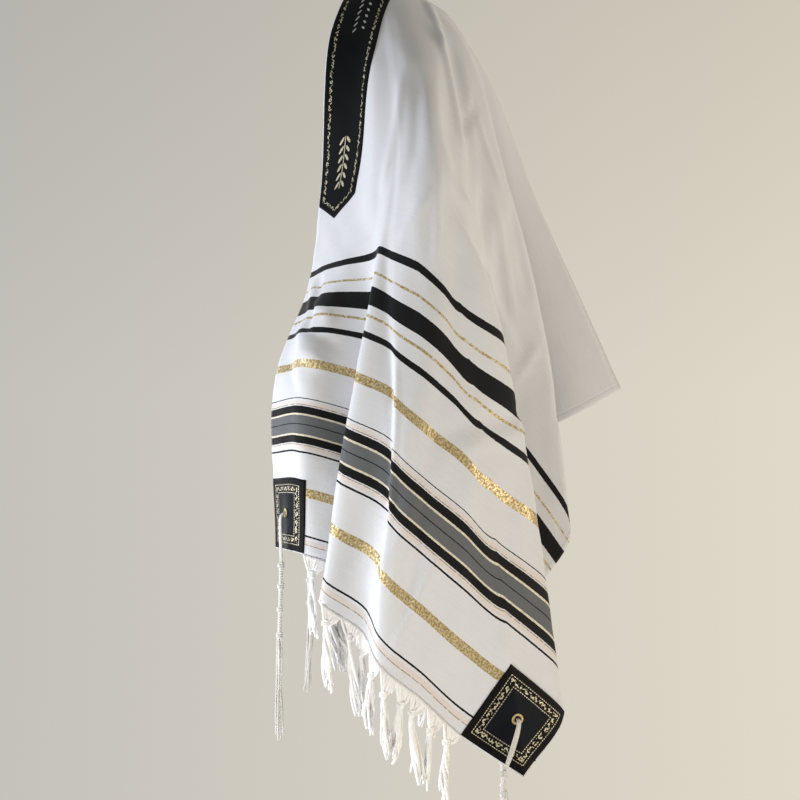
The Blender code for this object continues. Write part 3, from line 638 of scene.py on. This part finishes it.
def cloth_at(u, v):
    """Places and outward directions at flat places u, v (arrays of one shape)."""
    spots = np.stack([np.ravel(u), np.ravel(v)], axis=1)
    low, high = spots.min(0) - MARGIN, spots.max(0) + MARGIN
    corners = cloth_flat[cloth_tris]
    near = ((corners.max(1) > low) & (corners.min(1) < high)).all(1)
    tris, corners = cloth_tris[near], corners[near]
    a, ab, ac = corners[:, 0], corners[:, 1] - corners[:, 0], corners[:, 2] - corners[:, 0]
    area = ab[:, 0] * ac[:, 1] - ac[:, 0] * ab[:, 1]
    area = np.where(np.abs(area) < 1e-12, 1e-12, area)
    places, ways = [], []
    parts = max(1, len(spots) * len(tris) // MOST_PAIRS)
    for part in np.array_split(spots, parts):
        d = part[:, None] - a[None]
        w_b = (d[..., 0] * ac[:, 1] - ac[:, 0] * d[..., 1]) / area
        w_c = (ab[:, 0] * d[..., 1] - d[..., 0] * ab[:, 1]) / area
        best = np.argmax(np.minimum(np.minimum(w_b, w_c), 1 - w_b - w_c), axis=1)
        rows = np.arange(len(part))
        share = np.stack([1 - w_b[rows, best] - w_c[rows, best], w_b[rows, best],
                          w_c[rows, best]], axis=1)
        share = share[..., None]
        places.append((cloth_points[tris[best]] * share).sum(1))
        ways.append(unit((cloth_ways[tris[best]] * share).sum(1)))
    shape = np.shape(u) + (3,)
    return np.concatenate(places).reshape(shape), np.concatenate(ways).reshape(shape)


# %% [markdown]
# ## Satin and gold thread
# Neckband and patches are black satin with a machine-embroidered border in gold. The
# "piece" map holds a point's place on the cut piece. From it the nodes work out how far
# in from the nearest edge it is and how far along that edge, so that the border turns
# each corner in a clean mitre. A winding stem with small leaves fills a strip of it,
# and thin running stitches go beside it on the patches.

# %% Distance from the edge and along it
def patch_border(a, b):
    """Along and inward on a square of PATCH_SIDE whose corner is at 0, 0."""
    to_a, to_b = a.least(PATCH_SIDE - a), b.least(PATCH_SIDE - b)
    return pick(to_a < to_b, b, a), to_a.least(to_b)


def band_border(u, y):
    """Along and inward on the pointed band, whose middle is at 0, 0. The slanting end is
    the line |u| = half length + point * (1 - |y| / half width)."""
    half = BAND_WIDTH / 2
    lean = half / math.hypot(half, BAND_POINT)
    to_side = half - abs(y)
    reach = abs(y) * (-BAND_POINT / half) + (BAND_HALF + BAND_POINT)
    to_end = (reach - abs(u)) * lean
    return pick(to_side < to_end, u, y), to_side.least(to_end)


# %% Embroidered satin
LEAF_TURN = 0.66           # radians, 38 degrees
SPRIG_AT = 0.304           # middles of the gold sprigs and silver leaves, along the band
SILVER_AT = 0.058
VINE_PERIOD = 0.0085
DASH = 0.0036              # running stitch
DASH_HALF_WIDTH = 0.0006


def leaf_pairs(along, across, period, apart, long, wide, reach):
    """Pairs of slanting leaves on both sides of a line: ellipses that repeat with the
    period, their middles apart from the line, each turned. reach is half the length of
    the row."""
    turn_c, turn_s = math.cos(LEAF_TURN), math.sin(LEAF_TURN)
    a = ((along / period).fract() - 0.5) * period
    b = abs(across) - apart
    oval = ((a * turn_c + b * turn_s) / long) ** 2.0 + ((b * turn_c - a * turn_s) / wide) ** 2.0
    return (abs(along) < reach) * (oval < 1.0)


def sprigs(u, y):
    """Gold sprig near each pointed end and small silver leaves nearer the middle."""
    out = abs(u) - SPRIG_AT
    stem = (abs(y) < 0.0008) * (abs(out) < 0.037)
    golden = stem.most(leaf_pairs(out, y, 0.0125, 0.0062, 0.0062, 0.0020, 0.0375))
    silver = leaf_pairs(abs(u) - SILVER_AT, y - 0.004, 0.0115, 0.0072, 0.0044, 0.0015, 0.0580)
    return golden, silver


def embroidered_satin(name, colours, border, vine_at, vine_half, run_lines=(), extra=None):
    """Satin with a gold vine at the given distance from the edge. colours are those of
    the rim and of the middle, inside the vine; extra makes more embroidery."""
    made, tree = new_material(name)
    a = add(tree, "SeparateXYZ", in_0=add(tree, "UVMap", uv_map="piece"))
    b = a.out(1)
    flat = add(tree, "UVMap", uv_map="flat")
    along, inward = border(a, b)
    y = (inward - vine_at) / vine_half
    turn = along * (2 * math.pi / VINE_PERIOD)
    stem = abs(y - turn.sine() * 0.30) < 0.17
    # Curls: rings on the stem, one to every one and a half turns of it.
    step = VINE_PERIOD * 1.5
    ring_x = ((along * (1 / step)).fract() - 0.5) * step / vine_half
    ring = ring_x * ring_x + y * y
    ring = (ring < 0.95) * (ring > 0.22)
    # Leaves: ovals on alternate sides of the stem, where it swings away.
    half_turn = along * (2 / VINE_PERIOD)
    leaf_x = half_turn.fract() - 0.5
    leaf_y = y + (half_turn.floor() % 2.0 - 0.5) * 1.1
    leaf = (leaf_x * 2.6) ** 2.0 + (leaf_y * 2.4) ** 2.0 < 1.0
    worn = add(tree, "TexNoise", in_Vector=flat, in_Scale=240.0, in_Detail=2.0)
    gold = stem.most(leaf).most(ring) * ((abs(y) < 1.0) * (worn > 0.46))
    for line in run_lines:
        dash = (along * (1 / DASH)).fract() < 0.66
        gold = gold.most((abs(inward - line) < DASH_HALF_WIDTH) * dash)
    if extra:
        more, silver = extra(a, b)
        gold = gold.most(more)
    # Painted glints on the gold thread: a noise blends it from a dark to a light gold, and the
    # light flecks stand in for light caught by the thread. The same noise raises its relief.
    sparkle = add(tree, "TexNoise", in_Vector=flat, in_Scale=700.0, in_Detail=2.0)
    painted_glint_mask = add(tree, "MapRange", in_0=sparkle, in_1=0.38, in_2=0.62)
    thread = add(tree, **MIX, in_0=painted_glint_mask, in_6=linear("#958762"), in_7=linear("#F1ECD6"))
    base = add(tree, **MIX, in_0=inward > vine_at + vine_half, in_6=linear(colours[0]),
               in_7=linear(colours[1]))
    base = add(tree, **MIX, in_0=gold, in_6=base, in_7=thread)
    if extra:
        base = add(tree, **MIX, in_0=silver, in_6=base, in_7=linear("#B9BDC4"))
        gold = gold.most(silver)
    # Satin floats 0.8 mm apart; the thread stands 0.5 mm proud.
    weave = add(tree, "TexWave", 1, in_Vector=flat, in_Scale=400.0)
    bump = add(tree, "Bump", in_Height=weave * 0.12 + gold * (sparkle + 0.6),
               in_Strength=0.6, in_Distance=0.0005)
    shade(tree, {"Base Color": base, "Metallic": gold * 0.35, "Normal": bump,
                 "Roughness": gold * -0.15 + 0.62, "Specular IOR Level": 0.14})
    return made


band_satin = embroidered_satin("neckband_satin", ("#06070A", "#090C10"), band_border,
                               0.0110, 0.0027, extra=sprigs)
patch_satin = embroidered_satin("patch_satin", ("#07070A", "#0B0F18"), patch_border,
                                0.0165, 0.0032, run_lines=(0.0105, 0.0225))
print("satin ready")

# %% [markdown]
# ## Neckband
# One strip of satin, sewn flat along the middle of the front edge, cut to a point at both
# ends. On its grid the rows run along the band, and the length of a row is longest in
# the middle, which makes the points.

# %% Neckband surface
SATIN_WALL = 0.0008
SATIN_PROUD = 0.0018       # its face over the cloth's
RIM = np.array([0, 0.0012, 0.003])
INNER = 0.006              # where the even rows begin


def rows_across(wide, count):
    """Places across a sewn piece: close together at both rims, even between them."""
    return np.concatenate([RIM, np.linspace(INNER, wide - INNER, count), wide - RIM[::-1]])


def sewn_satin(name, satin, u, v, edge, a, b, turned=False):
    """Satin on the cloth at flat places u, v, which are a, b on the cut piece. Its height
    is a quarter at the edge and full 1.2 mm in (smooth step)."""
    rise = np.clip(edge / 0.0012, 0, 1)
    height = SATIN_PROUD * (0.25 + 0.75 * rise * rise * (3 - 2 * rise))
    place, way = cloth_at(u, v)
    place = place + way * (CLOTH_WALL / 2 + height)[..., None]
    maps = [("flat", np.stack([u.ravel(), v.ravel()], 1)),
            ("piece", np.stack([a.ravel(), b.ravel()], 1))]
    ids = np.arange(u.size).reshape(u.shape)
    made = add_mesh(name, place.reshape(-1, 3), grid_quads(ids, turned), satin, maps)
    return give_wall(made, SATIN_WALL, -1.0)


def neckband():
    """u = s * (half length + point * (1 - |y|)), v across."""
    s, y = np.meshgrid(np.linspace(-1, 1, 401),
                       rows_across(BAND_WIDTH, 26) / BAND_WIDTH * 2 - 1, indexing="ij")
    reach = BAND_HALF + BAND_POINT * (1 - np.abs(y))
    u = s * reach
    v = EDGE_INSET + (y + 1) / 2 * BAND_WIDTH
    edge = np.minimum((1 - np.abs(y)) * BAND_WIDTH / 2, reach - np.abs(u))
    return sewn_satin("shawl_neckband", band_satin, u, v, edge, u, y * BAND_WIDTH / 2)


band = neckband()
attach(band, "root")
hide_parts("neckband")
print("neckband points", len(band.data.vertices))

# %% [markdown]
# ## Corner patches
# A square of the same satin on each corner, which carries the tassel hole. It is sewn down
# on all sides, so its rim meets the cloth and its middle stands a thread's height proud.

# %% Patches
CORNERS = (("left_front", 1, 0.0), ("left_back", 1, WIDTH),
           ("right_front", -1, 0.0), ("right_back", -1, WIDTH))


def corner_patch(name, side, v_corner):
    """Square grid on the flat cloth from the corner inward; a, b run 0 to the side."""
    inward = 1 if v_corner == 0 else -1
    a = rows_across(PATCH_SIDE, 50)
    a, b = np.meshgrid(a, a, indexing="ij")
    u = side * (LENGTH / 2 - EDGE_INSET - a)
    v = v_corner + inward * (EDGE_INSET + b)
    edge = np.minimum(np.minimum(a, PATCH_SIDE - a), np.minimum(b, PATCH_SIDE - b))
    return sewn_satin(name, patch_satin, u, v, edge, a, b, side == inward)


patches = []
for corner, side, v_corner in CORNERS:
    patch = corner_patch("shawl_patch_" + corner, side, v_corner)
    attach(patch, "root")
    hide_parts("patch_" + corner)
    patches.append(patch)
print("patches", len(patches))

# %% [markdown]
# ## Threads
# Fringe and tassels are many thin threads, so one helper makes them all at once: it gets
# the middle lines of all threads as one array, finds two directions square to each, and
# puts a ring of corners round every point.

# %% Thread material and helper
UP = np.array([0.0, 0.0, 1.0])


def white_thread(name, dark, light, twist_depth):
    """Twisted white thread: a fine slanting twist in the relief, uneven tone."""
    made, tree = new_material(name)
    place = add(tree, "TexCoord", "Object")
    cloud = add(tree, "TexNoise", in_Vector=place, in_Scale=160.0, in_Detail=2.0)
    tone = add(tree, **MIX, in_0=cloud, in_6=linear(dark), in_7=linear(light))
    twist = add(tree, "TexWave", 1, bands_direction="DIAGONAL", in_Scale=0.34,
                in_Vector=add(tree, "UVMap", uv_map="thread"))
    bump = add(tree, "Bump", in_Height=twist, in_Strength=twist_depth, in_Distance=0.0005)
    shade(tree, {"Base Color": tone, "Normal": bump, "Roughness": 0.85,
                 "Specular IOR Level": 0.25, "Sheen Weight": 0.2})
    return made


fringe_yarn = white_thread("fringe_yarn", "#EFEFF0", "#FFFFFF", 0.4)
tassel_cord = white_thread("tassel_cord", "#C9C8C4", "#EBEAE7", 0.35)


def threads(lines, radius, sides):
    """Tubes round many lines at once. lines is (thread, point, 3), radius one number or
    one for each point; each ring is the line plus radius times a turning direction."""
    radius = np.broadcast_to(radius, lines.shape[:2])
    ahead = unit(np.gradient(lines, axis=1))
    guide = np.where(np.abs(ahead[..., 1:2]) < 0.9, (0.0, 1.0, 0.0), (1.0, 0.0, 0.0))
    one = unit(np.cross(ahead, guide))
    two = np.cross(ahead, one)
    angle = np.arange(sides) * 2 * math.pi / sides
    ring = (one[:, :, None] * np.cos(angle)[:, None] + two[:, :, None] * np.sin(angle)[:, None])
    points = lines[:, :, None] + ring * radius[:, :, None, None]
    many, long = lines.shape[:2]
    ids = np.arange(many * long * sides).reshape(many, long, sides)
    nxt = np.roll(ids, -1, axis=2)
    quads = np.stack([ids[:, :-1], nxt[:, :-1], nxt[:, 1:], ids[:, 1:]], axis=-1).reshape(-1, 4)
    run = np.cumsum(np.linalg.norm(np.diff(lines, axis=1, prepend=lines[:, :1]), axis=2), axis=1)
    uv = np.stack([np.broadcast_to(angle / (2 * math.pi), ids.shape),
                   np.broadcast_to(run[:, :, None] * 300, ids.shape)], axis=-1)
    caps = np.concatenate([ids[:, 0, ::-1], ids[:, -1]])
    return points.reshape(-1, 3), quads, caps, uv.reshape(-1, 2)


def join_threads(name, groups, material):
    """One object from several groups of threads (each as threads() returns them)."""
    faces, base = [], 0
    for points, quads, caps, _ in groups:
        faces += (quads + base).tolist() + (caps + base).tolist()
        base += len(points)
    return add_mesh(name, np.concatenate([group[0] for group in groups]), faces, material,
                    [("thread", np.concatenate([group[3] for group in groups]))])


def coils(middle, radius, tube, turns, high):
    """Wraps of thread round upright lines: one helix for each middle, turns times round
    at the given radius, high from its first to its last point."""
    t = np.linspace(0, 1, int(turns * 12))
    angle = 2 * math.pi * turns * t
    ring = np.stack([np.cos(angle) * radius, np.sin(angle) * radius, (0.5 - t) * high], axis=1)
    lines = middle[:, None] + ring[None]
    return threads(lines, tube, 6)


# %% [markdown]
# ## Fringe
# The warp ends hang out of the short edge. About every 35 mm they are gathered into a
# knot, which leaves pointed gaps between the fans of yarn, and below it they spread and
# curl again. Each fan has fifteen yarns; ten hang below its knot, each with its own
# length and curl, and some locks swing across to the next one.

# %% Fringe
FRINGE_LONG = 0.120
LOCKS = 17
LOCKS_V = (0.1285, 0.6915)  # first and last
FAN_YARNS = 15             # above a knot
FAN_WIDE = 0.0345
LOOSE_ENDS = 10            # below it


def fringe(side, seed):
    """Yarns of one short edge, hung straight down from the edge with soft curls."""
    rng = np.random.default_rng(seed)
    knots_v = np.linspace(*LOCKS_V, LOCKS)
    knots_v[1:-1] += rng.uniform(-0.004, 0.004, LOCKS - 2)
    edge_u = side * (LENGTH / 2 - 0.001)
    middle, way = cloth_at(np.full(LOCKS, edge_u), knots_v)
    above, _ = cloth_at(np.full(LOCKS, edge_u - side * 0.012), knots_v)
    along = unit(cloth_at(np.full(LOCKS, edge_u), knots_v + 0.004)[0] - middle)
    lead = unit(unit(middle - above) * 0.8 - UP * 0.5)
    drop = rng.uniform(0.019, 0.030, LOCKS)
    lean = rng.uniform(-0.006, 0.006, LOCKS)
    knot = middle + lead * drop[:, None] + along * lean[:, None]
    # Fan above the knot: the outer yarns sag, so a pointed gap stays between two fans.
    spread = (np.arange(FAN_YARNS) / (FAN_YARNS - 1) - 0.5) * FAN_WIDE
    root, _ = cloth_at(np.full((LOCKS, FAN_YARNS), edge_u), knots_v[:, None] + spread)
    t = np.linspace(0, 1, 9)[None, None, :, None]
    inner = knot[:, None] + along[:, None] * (spread * 0.10)[None, :, None]
    lines = root[:, :, None] * (1 - t) + inner[:, :, None] * t
    sag = (np.abs(spread) / 0.017 * 0.0050)[None, :, None, None]
    lines = lines - UP * sag * np.sin(t * math.pi)
    puff = rng.uniform(-0.0016, 0.0022, (LOCKS, FAN_YARNS))[:, :, None, None]
    lines = lines + way[:, None, None] * puff * np.sin(t * math.pi)
    lines = lines.reshape(LOCKS * FAN_YARNS, 9, 3)
    groups = [threads(lines, 0.0022 - 0.0007 * t[0, :, :, 0], 6)]
    # Knots: a fat core and two wraps of yarn round it.
    t = np.linspace(-1, 1, 7)
    lines = knot[:, None] - UP * (t * 0.0062)[None, :, None]
    groups += [threads(lines, 0.0045 * np.sqrt(1.04 - t**2), 8),
               coils(knot, 0.0038, 0.0022, 2.2, 0.0066)]
    # Loose ends below.
    t = np.linspace(0, 1, 17)
    each = (LOCKS, LOOSE_ENDS, 1)
    long = FRINGE_LONG * rng.uniform(0.74, 1.0, each) - drop[:, None, None]
    long = long * rng.uniform(0.90, 1.04, LOCKS)[:, None, None]
    heading = rng.uniform(0, 2 * math.pi, each)
    out = rng.uniform(0.001, 0.0105, each)
    curl = rng.uniform(0.0010, 0.0055, each)
    phase = rng.uniform(0, 2 * math.pi, each)
    turn = rng.uniform(4.0, 9.0, each) * t + phase
    clump = rng.uniform(-0.018, 0.018, LOCKS)[:, None, None]
    x = np.cos(heading) * out * t**0.7 + curl * np.sin(turn) * t**0.6 + clump * t**1.4
    y = np.sin(heading) * out * t**0.7 + curl * np.cos(turn) * t**0.6
    lines = (knot[:, None, None] - UP * (long * t)[..., None]
             + along[:, None, None] * x[..., None] + way[:, None, None] * y[..., None])
    lines = lines.reshape(LOCKS * LOOSE_ENDS, 17, 3)
    thick = rng.uniform(0.0021, 0.0034, LOCKS * LOOSE_ENDS)[:, None]
    groups.append(threads(lines, thick * (1.0 - 0.45 * t**4), 6))
    return groups


fringes = []
for word, side, seed in (("left", 1, 7), ("right", -1, 19)):
    piece = join_threads("shawl_fringe_" + word, fringe(side, seed), fringe_yarn)
    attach(piece, "root")
    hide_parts("fringe_" + word)
    fringes.append(piece)
    print(piece.name, len(piece.data.polygons), "faces")

# %% [markdown]
# ## Eyelets
# A worked buttonhole keeps the tassel from tearing the patch: gold thread wound round the
# hole, so each is a small torus whose section ripples with the stitches.

# %% Eyelets
def gold_thread():
    """Metallic embroidery thread, laid round and round."""
    made, tree = new_material("gold_thread")
    place = add(tree, "TexCoord", "Object")
    cloud = add(tree, "TexNoise", in_Vector=place, in_Scale=900.0, in_Detail=2.0)
    tone = add(tree, **MIX, in_0=cloud, in_6=linear("#8F7440"), in_7=linear("#EBDCA8"))
    bump = add(tree, "Bump", in_Height=cloud, in_Strength=0.5, in_Distance=0.0004)
    shade(tree, {"Base Color": tone, "Normal": bump, "Metallic": 0.45, "Roughness": 0.45})
    return made


gold = gold_thread()


def eyelet(side, v_corner):
    """Torus on the patch: radius 5.8 mm, tube 1.7 mm, rippled by 26 stitches."""
    inward = 1 if v_corner == 0 else -1
    a, b = np.meshgrid(np.linspace(0, 2 * math.pi, 105)[:-1],
                       np.linspace(0, 2 * math.pi, 13)[:-1], indexing="ij")
    ripple = 1 + 0.16 * np.cos(26 * a)
    radius = 0.0058 + 0.0017 * ripple * np.cos(b)
    u = side * (LENGTH / 2 - HOLE_FROM_EDGES) + radius * np.cos(a)
    v = v_corner + inward * HOLE_FROM_EDGES + radius * np.sin(a)
    place, way = cloth_at(u, v)
    place = place + way * (CLOTH_WALL / 2 + 0.0022 + 0.0010 * ripple * np.sin(b))[..., None]
    ids = np.arange(a.size).reshape(a.shape)
    ids = np.concatenate([ids, ids[:1]])
    ids = np.concatenate([ids, ids[:, :1]], axis=1)
    return place.reshape(-1, 3), grid_quads(ids, turned=side > 0)


eyelets = []
for corner, side, v_corner in CORNERS:
    points, faces = eyelet(side, v_corner)
    ring = add_mesh("shawl_eyelet_" + corner, points, faces, gold)
    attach(ring, "root")
    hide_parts("eyelet_" + corner)
    eyelets.append(ring)
print("eyelets", len(eyelets))

# %% [markdown]
# ## Corner tassels
# Four long threads pass through the hole and are tied with knots below the patch, with
# the longest thread wound round the rest between the knots. Below the last knot the
# eight ends hang loose.

# %% Tassels
KNOTS = (0.24, 0.33, 0.43, 0.545)      # share of the whole length
SLIDES = (0.008, -0.027, 0.030, 0.005)  # how far each hangs to the back of its hole
WRAP_PITCH = 0.0036
LOOSE_THREADS = 8


def tassel_line(place, way, slide, sway, t):
    """Middle line of a tassel: out of the hole, slanting over the patch by slide as far
    as its first knot, then straight down with a slow bend of a few millimetres."""
    start = place + way * (CLOTH_WALL / 2 + 0.0024)
    over = unit(way * np.array([1.0, 1.0, 0.0]))
    side = np.cross(UP, over)
    side = side * np.sign(side[1])
    t = t[:, None]
    drop = t * TASSEL_LONG
    reach = 0.0040 * (1 - np.exp(-drop / 0.006)) + 0.004 * t
    wave = 0.006 * np.sin(t * 7.5 + sway) * t + slide * np.minimum(t / KNOTS[0], 1.0) ** 1.3
    early = way * 0.0042 * (1 - np.exp(-drop / 0.003))
    fall = UP * (drop - 0.005 * (1 - np.exp(-drop / 0.008)))
    return start + early + over * reach + side * wave - fall


def tassel(side, v_corner, number):
    """Groups of threads: four doubled threads, the wound cord, knots and loose ends."""
    rng = np.random.default_rng(40 + number)
    inward = 1 if v_corner == 0 else -1
    place, way = cloth_at(np.array([side * (LENGTH / 2 - HOLE_FROM_EDGES)]),
                          np.array([v_corner + inward * HOLE_FROM_EDGES]))
    place, way, slide, sway = place[0], way[0], SLIDES[number], 1.3 * number
    level = unit(np.cross(UP, way))
    level = level * np.sign(level[1])
    front = np.cross(level, UP)
    # Four threads side by side from the hole to the first knot.
    t = np.linspace(0, KNOTS[0], 24)
    line = tassel_line(place, way, slide, sway, t)
    spread = np.sin(np.clip(t / KNOTS[0], 0, 1) * math.pi) * 0.5 + 0.5
    lanes = np.array([-1.5, -0.5, 0.5, 1.5])
    lines = line[None] + level * (lanes[:, None] * 0.0021 * spread[None])[..., None]
    lines = lines + front * (0.0006 * np.cos(lanes * 2.0))[:, None, None]
    groups = [threads(lines, 0.00125, 8)]
    # Wound cord between the first and the last knot.
    t = np.linspace(KNOTS[0], KNOTS[-1], 260)
    line = tassel_line(place, way, slide, sway, t)
    radius = 0.0029 + 0.00042 * np.sin(t * TASSEL_LONG / WRAP_PITCH * 2 * math.pi)
    groups.append(threads(line[None], radius, 10))
    # Knots: a core and two and a half wraps of thread each.
    at = tassel_line(place, way, slide, sway, np.array(KNOTS))
    t = np.linspace(-1, 1, 9)
    lines = at[:, None] - UP * (t * 0.0058)[None, :, None]
    groups.append(threads(lines, 0.0042 * np.sqrt(1.05 - t**2), 10))
    groups.append(coils(at, 0.0037, 0.0017, 2.4, 0.0072))
    # Eight loose ends; three of them bow out to the back before they join the others.
    t = np.linspace(0, 1, 30)
    many = LOOSE_THREADS
    phase = rng.uniform(0, 2 * math.pi, many)[:, None]
    length = rng.uniform(0.93, 1.0, many)[:, None]
    run = KNOTS[-1] + (1 - KNOTS[-1]) * length * t
    line = tassel_line(place, way, slide, sway, run.ravel()).reshape(many, 30, 3)
    out = rng.uniform(0.0015, 0.0050, many)[:, None]
    heading = (np.arange(many) * 2 * math.pi / many)[:, None]
    curl = rng.uniform(0.0004, 0.0014, many)[:, None]
    bow = np.where(np.arange(many) % 3 == 1, 0.0085, -0.0015)[:, None]
    bow = bow * np.sin(math.pi * np.clip(t / 0.55, 0, 1))
    x = np.cos(heading) * (0.0014 + out * t + 0.004 * t**8) + curl * np.sin(9 * t + phase) + bow
    y = np.sin(heading) * (0.0014 + out * t) + curl * np.cos(8 * t + phase)
    lines = line + level * x[..., None] + front * y[..., None]
    groups.append(threads(lines, 0.00135 * (1 - 0.3 * t**3), 6))
    return groups


tassels = []
for number, (corner, side, v_corner) in enumerate(CORNERS):
    piece = join_threads("shawl_tassel_" + corner, tassel(side, v_corner, number), tassel_cord)
    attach(piece, "root")
    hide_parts("tassel_" + corner)
    tassels.append(piece)
    print(piece.name, len(piece.data.polygons), "faces")

# %% [markdown]
# ## The pieces sewn on the sheet
# Band, patches, eyelets, tassels and fringes are gathered in one list, which is not used
# further.

[band] + patches + eyelets + tassels + fringes

# %% [markdown]
# ## Floor, light and camera
# A pale floor far below, a soft cool light from the wearer's front, a warmer, weaker one
# from behind and a small one low on the camera side give the cloth its shape. A fourth
# one does the same for the side that the camera doesn't see.

# %% Stage
FLOOR_DOWN = -1.72


def plain(name, colour):
    """A matt paint for the floor."""
    made, tree = new_material(name)
    shade(tree, {"Base Color": linear(colour), "Roughness": 0.9})
    return made


a, r = np.meshgrid(np.linspace(0, 2 * math.pi, 97)[:-1], np.array([0.0001, 0.6, 1.25]),
                   indexing="ij")
floor_points = np.stack([r * np.cos(a), r * np.sin(a), np.full(a.shape, FLOOR_DOWN)], axis=-1)
ids = np.arange(a.size).reshape(a.shape)
floor = add_mesh("floor", floor_points.reshape(-1, 3),
                 grid_quads(np.concatenate([ids, ids[:1]])), plain("floor_paint", "#D9D3C8"))


def soft_room():
    """Plain pale room: cooler towards the wearer's front, warmer and lighter behind, and
    dimmer overhead and on the side of the wearer's left hand."""
    made = bpy.data.worlds.new("soft_room")
    made.use_nodes = True
    tree = made.node_tree
    x = add(tree, "SeparateXYZ", in_0=add(tree, "TexCoord", "Generated"))
    back = add(tree, "MapRange", in_0=x.out(1), in_1=-0.34, in_2=0.24)
    high = add(tree, "MapRange", in_0=x.out(2), in_2=0.6, in_3=1.0, in_4=0.62)
    beside = add(tree, "MapRange", in_0=x, in_2=0.8, in_3=1.0, in_4=0.66)
    tone = add(tree, **MIX, in_0=back, in_6=linear("#BEBDB9"), in_7=linear("#E0D8C8"))
    put(tree.nodes["Background"], "Color", tone)
    put(tree.nodes["Background"], "Strength", high * beside)
    return made


bpy.context.scene.world = soft_room()


def soft_light(name, place, target, size, power, colour):
    """An area light that looks at the target: its -Z axis points there."""
    data = bpy.data.lights.new(name, "AREA")
    data.shape = "DISK"
    data.size = size
    data.energy = power
    data.color = linear(colour)[:3]
    lamp = bpy.data.objects.new(name, data)
    lamp.location = place
    way = np.array(target) - np.array(place)
    pitch = math.atan2(math.hypot(way[0], way[1]), -way[2])
    lamp.rotation_euler = (pitch, 0, math.atan2(way[1], way[0]) - math.pi / 2)
    bpy.context.scene.collection.objects.link(lamp)


soft_light("front_light", (0.7, -2.6, -1.1), (0.1, 0, -0.8), 1.1, 62, "#ECF2FF")
soft_light("back_light", (0.8, 2.7, -1.0), (0, 0.1, -0.6), 1.2, 32, "#FFF1DE")
soft_light("low_light", (1.5, -0.8, -1.55), (0.15, 0, -1.05), 0.6, 13, "#FFFCF6")
soft_light("far_light", (-2.3, -1.7, -0.5), (-0.1, 0, -0.7), 1.3, 34, "#F4F6FF")

# %% Camera
CAMERA_AWAY = 2.4
CAMERA_LOW = -0.630
HALF_VIEW = 0.612          # half of the view's width, in the plane of the head
camera_data = bpy.data.cameras.new("camera")
camera_data.sensor_width = 36
camera_data.lens = 18 / (HALF_VIEW / CAMERA_AWAY)
camera = bpy.data.objects.new("camera", camera_data)
camera.location = (CAMERA_AWAY, 0, CAMERA_LOW)
camera.rotation_euler = (math.pi / 2, 0, math.pi / 2)
bpy.context.scene.collection.objects.link(camera)
bpy.context.scene.camera = camera
bpy.context.scene.view_settings.view_transform = "Standard"
